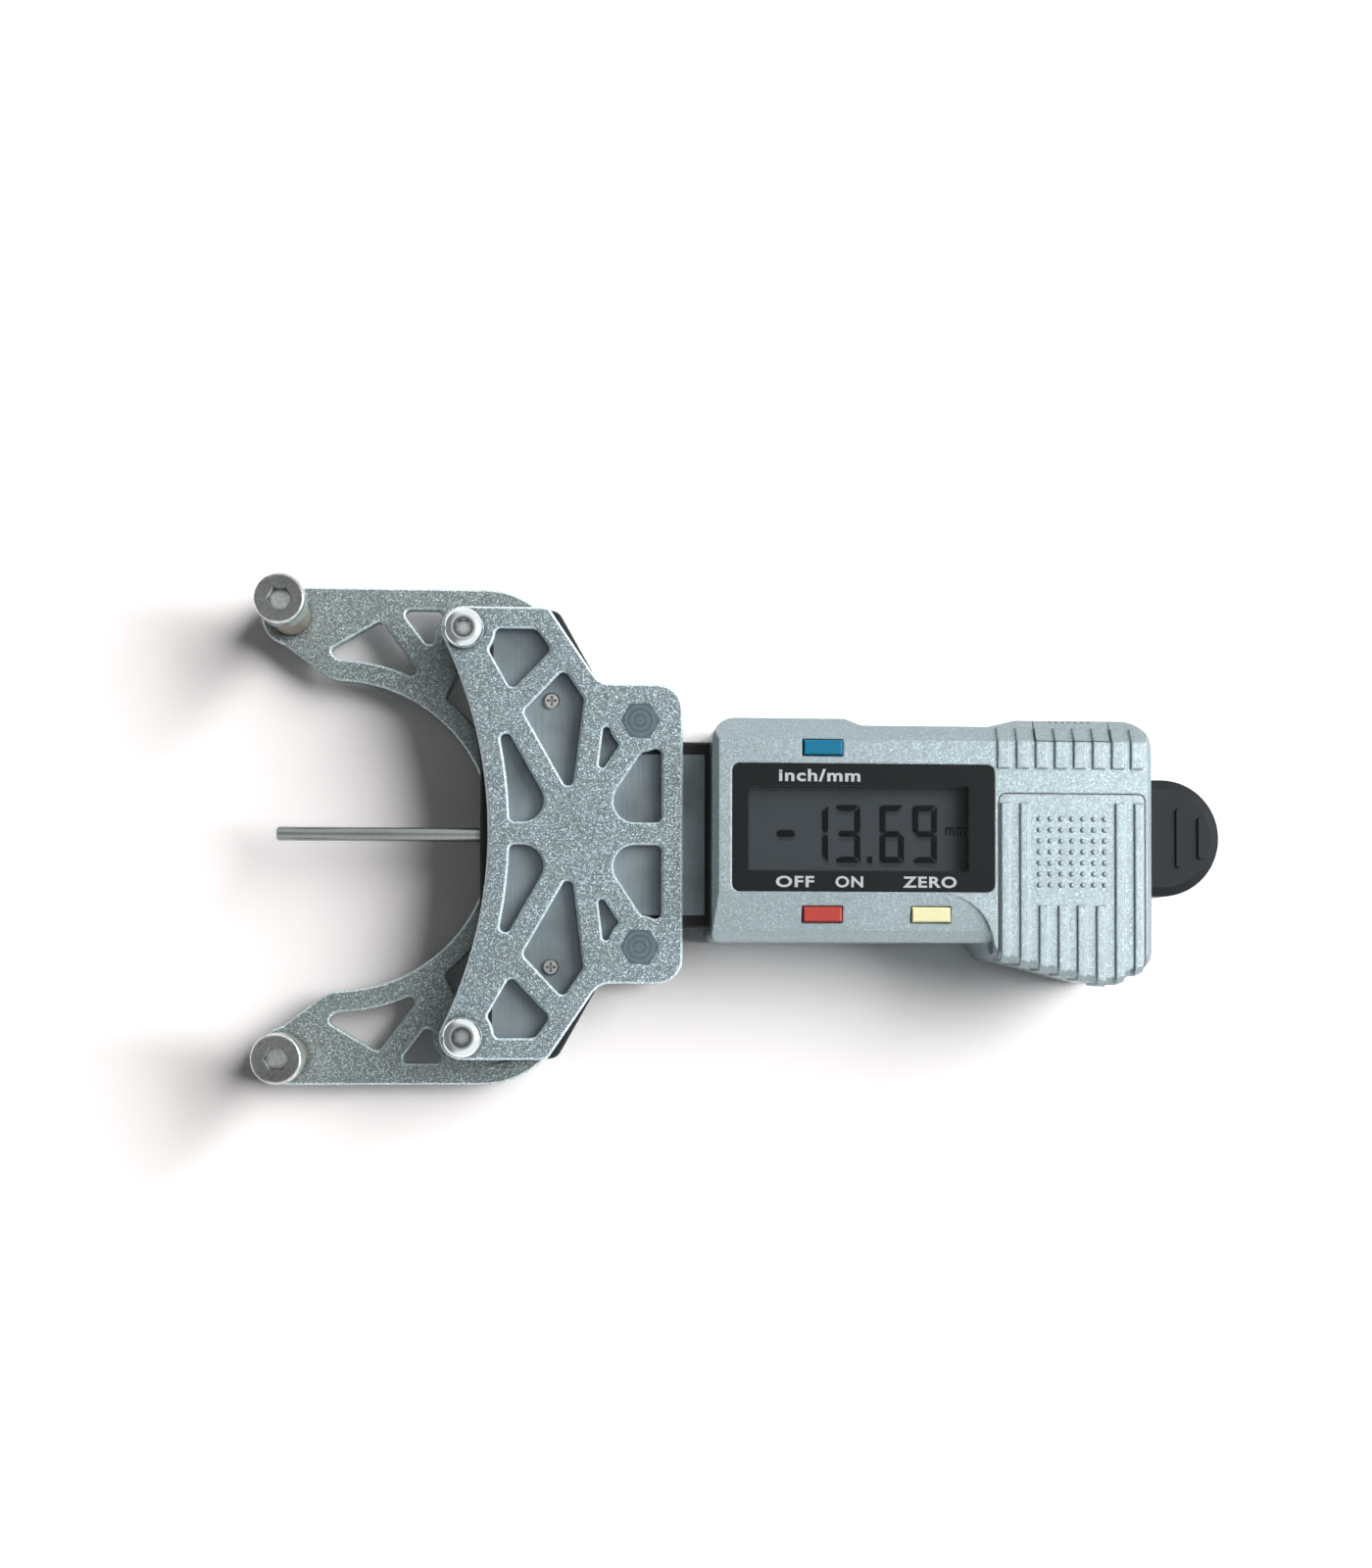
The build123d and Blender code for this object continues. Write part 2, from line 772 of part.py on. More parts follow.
with BuildPart() as slider_bar:
    with BuildSketch(upright(nose_x)):
        with Locations((0, axis_z)):
            Rectangle(slider_width, slider_thickness)
    extrude(amount=bar_end - nose_x)
    chamfer(slider_bar.faces().sort_by(Axis.X)[0].edges().filter_by(Axis.Z), slider_nose_chamfer)
    with BuildSketch(upright(nose_x)):
        with Locations((0, axis_z)):
            Circle(probe_diameter / 2 + press_clearance)
    extrude(amount=probe_grip + press_clearance, mode=Mode.SUBTRACT)
    with BuildSketch(level(axis_z - bar_height)):
        with Locations((tab_start + tab_socket_depth / 2, 0)):
            Circle(tab_pin_diameter / 2 + press_clearance)
    extrude(amount=slider_thickness, mode=Mode.SUBTRACT)
finish(slider_bar.part, "slider_bar")

with BuildPart() as push_tab:
    with BuildSketch(level(beam_z)):
        with BuildLine():
            Line((tab_start, -tab_width / 2), (tab_start, tab_width / 2))
            Line((tab_start, tab_width / 2), (tab_start + tab_length - tab_width / 2, tab_width / 2))
            ThreePointArc(
                (tab_start + tab_length - tab_width / 2, tab_width / 2),
                (tab_start + tab_length, 0),
                (tab_start + tab_length - tab_width / 2, -tab_width / 2),
            )
            Line((tab_start + tab_length - tab_width / 2, -tab_width / 2), (tab_start, -tab_width / 2))
        make_face()
    extrude(amount=beam_thickness)
    tab_top = push_tab.faces().sort_by(Axis.Z)[-1]
    rim_edges = tab_top.edges().sort_by(Axis.X)[1:]
    chamfer(rim_edges, tab_rim, tab_rim_drop, reference=tab_top)
    for rib_x, rib_reach in tab_ribs:
        with BuildSketch(level(beam_z + beam_thickness)):
            with Locations((tab_start + rib_x, 0)):
                SlotOverall(rib_reach, tab_rib_width, rotation=90)
        extrude(amount=tab_rib_height)
    with BuildSketch(upright(tab_start)):
        with Locations((0, axis_z)):
            Rectangle(slider_width + 2 * press_clearance, slider_thickness + 2 * press_clearance)
    extrude(amount=tab_socket_depth + press_clearance, mode=Mode.SUBTRACT)
    with BuildSketch(level(beam_z)):
        with Locations((tab_start + tab_socket_depth / 2, 0)):
            Circle(tab_pin_diameter / 2 + press_clearance)
    extrude(amount=tab_pin_length + press_clearance, mode=Mode.SUBTRACT)
finish(push_tab.part, "push_tab")

with BuildPart() as tab_pin:
    with BuildSketch(level(beam_z)):
        with Locations((tab_start + tab_socket_depth / 2, 0)):
            Circle(tab_pin_diameter / 2)
    extrude(amount=tab_pin_length)
finish(tab_pin.part, "tab_pin")

# Leaf spring that makes the slide stay where it is put
spring_floor = channel_floor - spring_groove
spring_top = axis_z - bar_height - spring_clearance
spring_side = Plane(origin=(face_x + spring_x, spring_width / 2, 0), x_dir=(1, 0, 0), z_dir=(0, -1, 0))
with BuildPart() as slide_spring:
    with BuildSketch(spring_side):
        with BuildLine():
            ThreePointArc(
                (-spring_length / 2, spring_floor + spring_sheet),
                (0, spring_top),
                (spring_length / 2, spring_floor + spring_sheet),
            )
            ThreePointArc(
                (-spring_length / 2, spring_floor),
                (0, spring_top - spring_sheet),
                (spring_length / 2, spring_floor),
            )
            Line((-spring_length / 2, spring_floor), (-spring_length / 2, spring_floor + spring_sheet))
            Line((spring_length / 2, spring_floor), (spring_length / 2, spring_floor + spring_sheet))
        make_face()
    extrude(amount=spring_width)
finish(slide_spring.part, "slide_spring")


# Display head: two moulded shells that close on the stem
crease_y = head_top - top_bevel_width
rib_low_y = crease_y - rib_face_reach
rib_high_y = crease_y + rib_bevel_reach
facet_y = window_y - facet_margin
low_edge_y = head_bottom + bottom_bevel_width
low_edge_z = head_height - facet_drop
bevel_slope = top_bevel_drop / top_bevel_width
cover_under = head_height - cover_thickness
pocket_floor = cover_under - part_gap - cell_height - contact_thickness
port_floor = head_height - port_drop
port_start = rib_start + 2 * rib_pitch - part_gap
port_end = rib_start + 6 * rib_pitch - part_gap
below_head = 2 * head_bottom
dip_start = left_button_x + dip_lead
dip_end = cover_start + dip_overlap
grip_start = cover_start - grip_lead


def facet_z(y):
    """Height of the slanted lower facet of the head's front at y."""
    return head_height - facet_drop * (facet_y - y) / (facet_y - low_edge_y)


def bevel_z(y):
    """Height of the bevel along the head's upper edge at y."""
    return head_height - bevel_slope * (y - crease_y)


with BuildSketch() as head_profile:
    with BuildLine():
        FilletPolyline(
            (head_start, head_bottom),
            (head_start, head_top),
            (dip_start, head_top),
            (dip_start + dip_fall, head_top - dip_depth),
            (dip_end - dip_rise, head_top - dip_depth),
            (dip_end, head_top),
            (head_end, head_top),
            (head_end, head_bottom - grip_end_drop),
            (head_end - grip_low_inset, head_bottom - grip_low_drop),
            (grip_start + grip_step_x, head_bottom - grip_step_y),
            (grip_start, head_bottom),
            radius=[
                head_bottom_corner,
                head_top_corner,
                dip_corner,
                dip_corner,
                dip_corner,
                dip_corner,
                head_end_corner,
                grip_end_corner,
                grip_low_corner,
                grip_step_corner,
                0,
            ],
            close=True,
        )
    make_face()

# The lower facet of the front ends in a round corner where the grip begins
with BuildPart() as facet_cutter:
    with BuildSketch(upright(head_start)):
        Polygon(
            (facet_y, head_height),
            (low_edge_y, low_edge_z),
            (head_bottom, low_edge_z - bottom_bevel_drop),
            (below_head, low_edge_z - bottom_bevel_drop),
            (below_head, head_height),
            align=None,
        )
    extrude(amount=window_end - head_start)
    with BuildSketch(level(0)):
        with Locations((window_end - facet_end_radius, facet_y - facet_end_radius)):
            Circle(facet_end_radius)
        with Locations((head_start, facet_y)):
            Rectangle(window_end - facet_end_radius - head_start, -below_head, align=(Align.MIN, Align.MAX))
    extrude(amount=head_height, mode=Mode.INTERSECT)

with BuildPart() as head_block:
    with BuildSketch(level(front_plate_z)):
        add(head_profile.sketch)
    extrude(amount=head_height - front_plate_z)
    chamfer(head_block.faces().sort_by(Axis.Z)[-1].edges(), head_edge_break)
    with BuildSketch(upright(head_start)):
        Polygon((crease_y, head_height), (head_top, bevel_z(head_top)), (head_top, head_height), align=None)
    extrude(amount=head_end - head_start, mode=Mode.SUBTRACT)
    add(facet_cutter.part, mode=Mode.SUBTRACT)


def cover_space(gap, bottom, top):
    """The room of the battery cover and its skirt, grown by gap at the sides."""
    with BuildPart() as space:
        with BuildSketch(level(cover_under)):
            with Locations((cell_x, cover_top_y + gap)):
                RectangleRounded(
                    cover_length + 2 * gap,
                    cover_top_y - below_head,
                    cover_corner + gap,
                    align=(Align.CENTER, Align.MAX),
                )
        extrude(amount=top - cover_under)
        with BuildSketch(level(bottom)):
            with Locations((cell_x, below_head)):
                Rectangle(cover_length + 2 * gap, -below_head, align=(Align.CENTER, Align.MIN))
            add(offset(head_profile.sketch, amount=-cover_skirt, mode=Mode.PRIVATE), mode=Mode.SUBTRACT)
        extrude(amount=top - bottom)
    return space.part


def cover_tongues(gap, top_y, bottom_y):
    """The two tongues along the sides of the battery cover, grown by gap."""
    with BuildPart() as tongues:
        with BuildSketch(level(cover_under)):
            with Locations((cell_x, (top_y + bottom_y) / 2)):
                Rectangle(cover_length + 2 * cover_tongue + 2 * gap, top_y - bottom_y)
        extrude(amount=tongue_height + gap)
    return tongues.part


def ribs(numbers, first_x, width, points):
    """Raised ribs of one cross section, given as points in the YZ plane."""
    with BuildPart() as group:
        for number in numbers:
            with BuildSketch(upright(first_x + number * rib_pitch)):
                Polygon(*points, align=None)
            extrude(amount=width)
    return group.part


bevel_lift = rib_height * math.hypot(1, bevel_slope)
face_rib = [
    (rib_low_y, head_height - rib_height),
    (rib_low_y, head_height + rib_height),
    (crease_y, head_height + rib_height),
    (crease_y, head_height - rib_height),
]
bevel_rib = [
    (crease_y + part_gap, bevel_z(crease_y + part_gap) - bevel_lift),
    (crease_y + part_gap, head_height + rib_height),
    (rib_high_y, bevel_z(rib_high_y) + bevel_lift),
    (rib_high_y, bevel_z(rib_high_y) - bevel_lift),
]
whole_rib = [face_rib[0], face_rib[1], (crease_y, head_height + rib_height), bevel_rib[2], bevel_rib[3]]

cavity_start = stem_wide_end
cavity_end = cover_start - cell_wall
cavity_low = head_bottom + head_wall
cavity_high = head_top - dip_depth - head_wall
window_centre = (window_x + window_length / 2, window_y + window_width / 2)
view_centre = (window_x + border_left + view_length / 2, window_y + border_low + view_width / 2)
lower_button_y = window_y - lower_button_margin
button_places = [
    (left_button_x, window_top + unit_button_margin),
    (left_button_x, lower_button_y),
    (zero_button_x, lower_button_y),
]

with BuildPart() as head_front_shell:
    add(head_block.part)
    with BuildSketch(level(front_plate_z)):
        with Locations(((cavity_start + cavity_end) / 2, (cavity_low + cavity_high) / 2)):
            Rectangle(cavity_end - cavity_start, cavity_high - cavity_low)
        with Locations(*left_boss_centres):
            Circle(shell_boss / 2, mode=Mode.SUBTRACT)
    extrude(amount=ceiling_z - front_plate_z, mode=Mode.SUBTRACT)
    with BuildSketch(level(front_plate_z)):
        with Locations(*left_boss_centres, *right_screw_centres):
            Circle(shell_screw_diameter / 2 + thread_clearance)
    extrude(amount=shell_screw_length + part_gap - front_plate_z, mode=Mode.SUBTRACT)
    with BuildSketch(level(window_z)):
        with Locations(window_centre):
            RectangleRounded(
                window_length + 2 * part_gap,
                window_width + 2 * part_gap,
                window_corner_radius + part_gap,
            )
    extrude(amount=window_thickness, mode=Mode.SUBTRACT)
    with BuildSketch(level(ceiling_z)):
        with Locations(view_centre):
            Rectangle(view_length, view_width)
        with Locations(*button_places):
            Rectangle(button_length + 2 * button_gap, button_width + 2 * button_gap)
    extrude(amount=window_thickness + view_ledge, mode=Mode.SUBTRACT)
    add(cover_space(part_gap, front_plate_z, head_height), mode=Mode.SUBTRACT)
    with BuildSketch(level(front_plate_z)):
        with Locations((cell_x, below_head)):
            Rectangle(cover_length + 2 * part_gap, -below_head, align=(Align.CENTER, Align.MIN))
        add(
            offset(head_profile.sketch, amount=-cover_skirt - skirt_gap, mode=Mode.PRIVATE),
            mode=Mode.SUBTRACT,
        )
    extrude(amount=cover_under - front_plate_z, mode=Mode.SUBTRACT)
    add(cover_tongues(part_gap, cover_top_y - tongue_inset + part_gap, below_head), mode=Mode.SUBTRACT)
    with BuildSketch(level(pocket_floor)):
        with Locations((cell_x, cell_y)):
            Circle(cell_diameter / 2 + cell_clearance)
        with Locations((cell_x - cell_diameter / 2 - cell_clearance - contact_notch, cell_y)):
            Rectangle(
                2 * contact_notch + contact_width,
                contact_width + 2 * part_gap,
                align=(Align.MIN, Align.CENTER),
            )
    extrude(amount=cover_under - pocket_floor, mode=Mode.SUBTRACT)
    with BuildSketch(level(port_floor)):
        with Locations((port_start, crease_y)):
            Rectangle(port_end - port_start, top_bevel_width, align=(Align.MIN, Align.MIN))
    extrude(amount=port_drop, mode=Mode.SUBTRACT)
    add(ribs([0, 1, 6, 7], rib_start, rib_width, whole_rib))
    add(ribs([2, 3, 4, 5], rib_start, rib_width, face_rib))
finish(head_front_shell.part, "head_front_shell")

# The cover's ribs run down its face, round its lower edge and on over its skirt
with BuildPart() as cover_ribs:
    with BuildSketch(level(front_plate_z)):
        offset(head_profile.sketch, amount=rib_height)
    extrude(amount=head_height + rib_height - front_plate_z)
    chamfer(cover_ribs.faces().sort_by(Axis.Z)[-1].edges(), head_edge_break)
    with BuildSketch(level(front_plate_z)):
        for number in range(rib_count):
            rib_top_y = cover_top_y - cover_rib_inset
            if number not in cover_long_ribs:
                rib_top_y = cell_y - cover_short_rib_drop
            with Locations((cover_rib_start + number * rib_pitch, below_head)):
                Rectangle(cover_rib_width, rib_top_y - below_head, align=Align.MIN)
    extrude(amount=head_height, mode=Mode.INTERSECT)

with BuildPart() as battery_cover:
    add(head_block.part)
    add(cover_ribs.part)
    add(cover_space(0, front_plate_z + part_gap, head_height + rib_height), mode=Mode.INTERSECT)
    add(cover_tongues(0, cover_top_y - tongue_inset, head_bottom + tongue_end_inset))
finish(battery_cover.part, "battery_cover")

with BuildPart() as port_cover:
    add(head_block.part)
    with BuildSketch(upright(port_start + part_gap)):
        Polygon(
            (crease_y + part_gap, head_height),
            (crease_y + part_gap, bevel_z(crease_y) - port_skin * math.hypot(1, bevel_slope)),
            (head_top - port_skin, bevel_z(head_top - port_skin) - port_skin * math.hypot(1, bevel_slope)),
            (head_top - port_skin, port_floor + part_gap),
            (head_top, port_floor + part_gap),
            (head_top, head_height),
            align=None,
        )
    extrude(amount=port_end - port_start - 2 * part_gap, mode=Mode.INTERSECT)
    add(ribs([2, 3, 4, 5], rib_start, rib_width, bevel_rib))
finish(port_cover.part, "port_cover")

with BuildPart() as port_contacts:
    with BuildSketch(level(port_floor)):
        with Locations(((port_start + port_end) / 2, crease_y + contact_thickness / 2)):
            with GridLocations(port_contact_pitch, contact_thickness, port_contact_count, 1):
                Rectangle(port_contact_width, contact_thickness)
    extrude(amount=port_contact_height)
finish(port_contacts.part, "port_contacts")

side_pocket_y = stem_tail_width / 2 + side_pocket_margin
side_pocket_end = head_end - side_pocket_inset

with BuildPart() as head_rear_shell:
    with BuildSketch(level(0)):
        add(head_profile.sketch)
    extrude(amount=front_plate_z)
    chamfer(head_rear_shell.faces().sort_by(Axis.Z)[0].edges(), rear_edge_break)
    with BuildSketch(level(beam_z)):
        with Locations((head_start, 0)):
            Rectangle(head_wall + part_gap, stem_width + 2 * part_gap, align=(Align.MIN, Align.CENTER))
            Rectangle(
                stem_tail_end + part_gap - head_start,
                stem_tail_width + 2 * part_gap,
                align=(Align.MIN, Align.CENTER),
            )
    extrude(amount=beam_thickness, mode=Mode.SUBTRACT)
    with BuildSketch(upright(stem_tail_end)):
        with Locations((0, axis_z)):
            Rectangle(channel_width, channel_height)
    extrude(amount=head_end - stem_tail_end, mode=Mode.SUBTRACT)
    with BuildSketch(level(head_wall)):
        with Locations((cavity_start + part_gap, side_pocket_y)):
            Rectangle(side_pocket_end - cavity_start, cavity_high - side_pocket_y, align=Align.MIN)
        with Locations((cavity_start + part_gap, -side_pocket_y)):
            Rectangle(
                side_pocket_end - cavity_start,
                -side_pocket_y - cavity_low,
                align=(Align.MIN, Align.MAX),
            )
        with Locations(*left_boss_centres):
            Circle(shell_boss / 2, mode=Mode.SUBTRACT)
    extrude(amount=front_plate_z - head_wall, mode=Mode.SUBTRACT)
    add(
        countersinks(
            left_boss_centres + right_screw_centres + stem_screw_centres,
            shell_screw_head,
            shell_screw_diameter,
            front_plate_z,
        ),
        mode=Mode.SUBTRACT,
    )
finish(head_rear_shell.part, "head_rear_shell")

finish(
    countersunk_screws(
        left_boss_centres + right_screw_centres,
        shell_screw_head,
        shell_screw_diameter,
        shell_screw_length,
    ),
    "shell_screws",
)
finish(
    countersunk_screws(stem_screw_centres, shell_screw_head, shell_screw_diameter, stem_screw_length),
    "stem_screws",
)

# Display stack, from the window down to the circuit board
with BuildPart() as display_window:
    with BuildSketch(level(window_z)):
        with Locations(window_centre):
            RectangleRounded(window_length, window_width, window_corner_radius)
    extrude(amount=window_thickness - window_sink)
finish(display_window.part, "display_window")

display_length = view_length + 2 * display_border
display_width = view_width + 2 * display_border

with BuildPart() as lcd_panel:
    with BuildSketch(level(display_z)):
        with Locations(view_centre):
            Rectangle(display_length, display_width)
    extrude(amount=display_thickness)
finish(lcd_panel.part, "lcd_panel")

with BuildPart() as contact_strips:
    with BuildSketch(level(board_top)):
        with Locations(view_centre):
            with GridLocations(display_length, display_width - strip_width, 1, 2):
                Rectangle(display_length, strip_width)
    extrude(amount=display_z - board_top)
finish(contact_strips.part, "contact_strips")

with BuildPart() as circuit_board:
    with BuildSketch(level(board_z)):
        with Locations(((cavity_start + cavity_end) / 2, (cavity_low + cavity_high) / 2)):
            Rectangle(
                cavity_end - cavity_start - 2 * board_margin,
                cavity_high - cavity_low - 2 * board_margin,
            )
        with Locations(*left_boss_centres):
            Circle(shell_boss / 2 + board_margin, mode=Mode.SUBTRACT)
    extrude(amount=board_thickness)
finish(circuit_board.part, "circuit_board")

with BuildPart() as switch_domes:
    with BuildSketch(level(board_top)):
        with Locations(*button_places):
            Circle(dome_diameter / 2)
    extrude(amount=dome_height)
finish(switch_domes.part, "switch_domes")

# Buttons: each hangs under the shell by its flange, above a switch dome
button_base = board_top + dome_height + button_travel + part_gap


def button(place, top):
    """One push button with its top at the given height."""
    with BuildPart() as key:
        with BuildSketch(level(button_base)):
            with Locations(place):
                Rectangle(button_length, button_width)
        extrude(amount=top - button_base)
        fillet(key.faces().sort_by(Axis.Z)[-1].edges(), button_round)
        with BuildSketch(level(ceiling_z)):
            with Locations(place):
                Rectangle(button_length + 2 * button_flange, button_width + 2 * button_flange)
        extrude(amount=-button_flange_thickness)
    return key.part


lower_button_top = facet_z(lower_button_y) + button_stand
finish(button(button_places[0], head_height + button_stand), "button_unit")
finish(button(button_places[1], lower_button_top), "button_power")
finish(button(button_places[2], lower_button_top), "button_zero")

# Coin cell and its two contacts
with BuildPart() as coin_cell:
    with BuildSketch(level(pocket_floor + contact_thickness)):
        with Locations((cell_x, cell_y)):
            Circle(cell_diameter / 2)
    extrude(amount=cell_height)
    chamfer(coin_cell.edges(), cell_edge_break)
finish(coin_cell.part, "coin_cell")

with BuildPart() as battery_contacts:
    with BuildSketch(level(pocket_floor)):
        with Locations((cell_x, cell_y)):
            Rectangle(contact_length, contact_width)
    extrude(amount=contact_thickness)
    with BuildSketch(level(pocket_floor)):
        with Locations((cell_x - cell_diameter / 2 - cell_clearance - contact_thickness, cell_y)):
            Rectangle(contact_thickness, contact_width, align=(Align.MIN, Align.CENTER))
    extrude(amount=contact_height)
finish(battery_contacts.part, "battery_contacts")
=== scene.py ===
import bpy
import bmesh
from mathutils import Matrix, Vector


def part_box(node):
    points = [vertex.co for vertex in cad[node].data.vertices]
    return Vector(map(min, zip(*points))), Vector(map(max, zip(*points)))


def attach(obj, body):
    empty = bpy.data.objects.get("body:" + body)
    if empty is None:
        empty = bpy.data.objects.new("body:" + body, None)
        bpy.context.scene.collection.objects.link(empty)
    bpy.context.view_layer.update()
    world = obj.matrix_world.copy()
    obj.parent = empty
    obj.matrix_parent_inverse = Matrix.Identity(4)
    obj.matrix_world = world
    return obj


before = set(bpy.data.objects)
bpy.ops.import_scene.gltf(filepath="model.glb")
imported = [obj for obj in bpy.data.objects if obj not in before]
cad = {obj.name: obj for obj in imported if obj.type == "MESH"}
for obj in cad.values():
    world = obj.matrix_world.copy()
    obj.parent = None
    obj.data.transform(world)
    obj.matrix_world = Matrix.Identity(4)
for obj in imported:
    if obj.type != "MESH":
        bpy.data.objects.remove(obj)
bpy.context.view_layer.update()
scene = bpy.context.scene
scene.view_settings.view_transform = "Standard"

# The gauge lies on its back on a white table, photographed from straight above the plates.
# The camera was solved from the gauge's own hole pairs; x is counted from the beam's end.
beam_end_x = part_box("t_beam")[0].x
image_width, image_height = 1400, 1600
focal_pixels = 2123.8
centre_pixel = (690.7, 950.9)
film_width = 36
camera_turn = (-0.0231, 0.0662, -0.0023)
camera_place = (beam_end_x + 0.00833, -0.02056, 0.3043)
nearest_seen = 0.01

camera = bpy.data.objects.new("camera", bpy.data.cameras.new("camera"))
scene.collection.objects.link(camera)
turn_x, turn_y, turn_z = (
    Matrix.Rotation(angle, 3, axis) for angle, axis in zip(camera_turn, "XYZ")
)
tilt = turn_z @ turn_x @ turn_y
camera.matrix_world = Matrix.Translation(camera_place) @ tilt.transposed().to_4x4()
camera.data.sensor_width = film_width
camera.data.lens = focal_pixels / image_height * camera.data.sensor_width
camera.data.shift_x = (image_width / 2 - centre_pixel[0]) / image_height
camera.data.shift_y = (centre_pixel[1] - image_height / 2) / image_height
camera.data.clip_start = nearest_seen
scene.camera = camera

# The table: a sheet of white paper, wide enough to fill the picture, just under the gauge. Seen
# by the camera and in mirrors it is a little brighter than white, so that the lit paper is
# plain white and only the gauge's shadow shows on it.
table_reach = 3
table_drop = 0.0002
lit_paper = (0.80, 0.80, 0.80)
seen_paper = (1.22, 1.20, 1.21)

table_mesh = bpy.data.meshes.new("table")
table_corners = [(-table_reach, -table_reach, 0), (table_reach, -table_reach, 0)]
table_corners += [(table_reach, table_reach, 0), (-table_reach, table_reach, 0)]
table_mesh.from_pydata(table_corners, [], [(0, 1, 2, 3)])
table = bpy.data.objects.new("table", table_mesh)
scene.collection.objects.link(table)
table.location.z = -table_drop

paper = bpy.data.materials.new("white_table")
paper.use_nodes = True
nodes, links = paper.node_tree.nodes, paper.node_tree.links
paper_shader = nodes["Principled BSDF"]
paper_shader.inputs["Roughness"].default_value = 1.0
paper_shader.inputs["Specular IOR Level"].default_value = 0.0
paper_ray = nodes.new("ShaderNodeLightPath")
paper_seen = nodes.new("ShaderNodeMath")
paper_seen.operation = "MAXIMUM"
paper_colour = nodes.new("ShaderNodeMix")
paper_colour.data_type = "VECTOR"
paper_colour.inputs[4].default_value = lit_paper
paper_colour.inputs[5].default_value = seen_paper
links.new(paper_ray.outputs["Is Camera Ray"], paper_seen.inputs[0])
links.new(paper_ray.outputs["Is Glossy Ray"], paper_seen.inputs[1])
links.new(paper_seen.outputs[0], paper_colour.inputs[0])
links.new(paper_colour.outputs[1], paper_shader.inputs["Base Color"])
table_mesh.materials.append(paper)

# The room: white to the camera and very dim as a lamp. Metal mirrors it as a studio with white
# walls on the tab's side and beyond both long sides, falling off overhead and to the left to
# grey, so that the plates and the head brighten towards the tab and edges stand out.
side_wall_share = 0.6
grey_until, white_from = -0.22, 0.38
grey_strength = 0.22
fill_strength = 0.08

room = bpy.data.worlds.new("studio_room")
scene.world = room
room.use_nodes = True
nodes, links = room.node_tree.nodes, room.node_tree.links
room_place = nodes.new("ShaderNodeTexCoord")
room_axes = nodes.new("ShaderNodeSeparateXYZ")
links.new(room_place.outputs["Generated"], room_axes.inputs[0])
room_across = nodes.new("ShaderNodeMath")
room_across.operation = "ABSOLUTE"
links.new(room_axes.outputs["Y"], room_across.inputs[0])
room_side = nodes.new("ShaderNodeMath")
room_side.operation = "MULTIPLY_ADD"
room_side.inputs[1].default_value = side_wall_share
links.new(room_across.outputs[0], room_side.inputs[0])
links.new(room_axes.outputs["X"], room_side.inputs[2])
room_glow = nodes.new("ShaderNodeMapRange")
room_glow.interpolation_type = "SMOOTHSTEP"
room_glow.inputs["From Min"].default_value = grey_until
room_glow.inputs["From Max"].default_value = white_from
room_glow.inputs["To Min"].default_value = grey_strength
links.new(room_side.outputs[0], room_glow.inputs["Value"])
room_ray = nodes.new("ShaderNodeLightPath")
mirrored = nodes.new("ShaderNodeMath")
mirrored.operation = "MAXIMUM"
links.new(room_ray.outputs["Is Glossy Ray"], mirrored.inputs[0])
links.new(room_ray.outputs["Is Transmission Ray"], mirrored.inputs[1])
mirror_glow = nodes.new("ShaderNodeMath")
mirror_glow.operation = "MULTIPLY"
links.new(mirrored.outputs[0], mirror_glow.inputs[0])
links.new(room_glow.outputs[0], mirror_glow.inputs[1])
room_seen = nodes.new("ShaderNodeMath")
room_seen.operation = "MAXIMUM"
links.new(mirror_glow.outputs[0], room_seen.inputs[0])
links.new(room_ray.outputs["Is Camera Ray"], room_seen.inputs[1])
room_strength = nodes.new("ShaderNodeMath")
room_strength.operation = "MAXIMUM"
room_strength.inputs[1].default_value = fill_strength
links.new(room_seen.outputs[0], room_strength.inputs[0])
links.new(room_strength.outputs[0], nodes["Background"].inputs["Strength"])
nodes["Background"].inputs["Color"].default_value = (1.0, 1.0, 1.0, 1)

# One wide soft lamp, low on the upper right beyond the tab, lights the table evenly and lets
# the shadows fall softly to the lower left as in the photograph. Metal doesn't mirror it, so
# that no plate glares white from the other side: a weak, higher lamp gives the sheen instead.
lamp_colour = (1.0, 0.99, 0.975)
for name, energy, angle, side, in_mirrors in (
    ("key_lamp", 5.8, 0.92, (0.74, 0.27, 0.43), False),
    ("sheen_lamp", 1.3, 0.6, (0.60, 0.12, 0.79), True),
):
    lamp = bpy.data.objects.new(name, bpy.data.lights.new(name, "SUN"))
    scene.collection.objects.link(lamp)
    lamp.data.energy = energy
    lamp.data.angle = angle
    lamp.data.color = lamp_colour
    lamp.rotation_euler = Vector(side).to_track_quat("Z", "Y").to_euler()
    lamp.visible_glossy = in_mirrors
    lamp.visible_diffuse = not in_mirrors


# The two lightened plates: aluminium sheet, cut, bead blasted and clear anodised. The blasting
# leaves a fine grain of leaning flakes that catch the lamp, a few brightened by painted glints,
# and painted highlights brighten the broken edges.
noise_low, noise_high = 0.3, 0.7


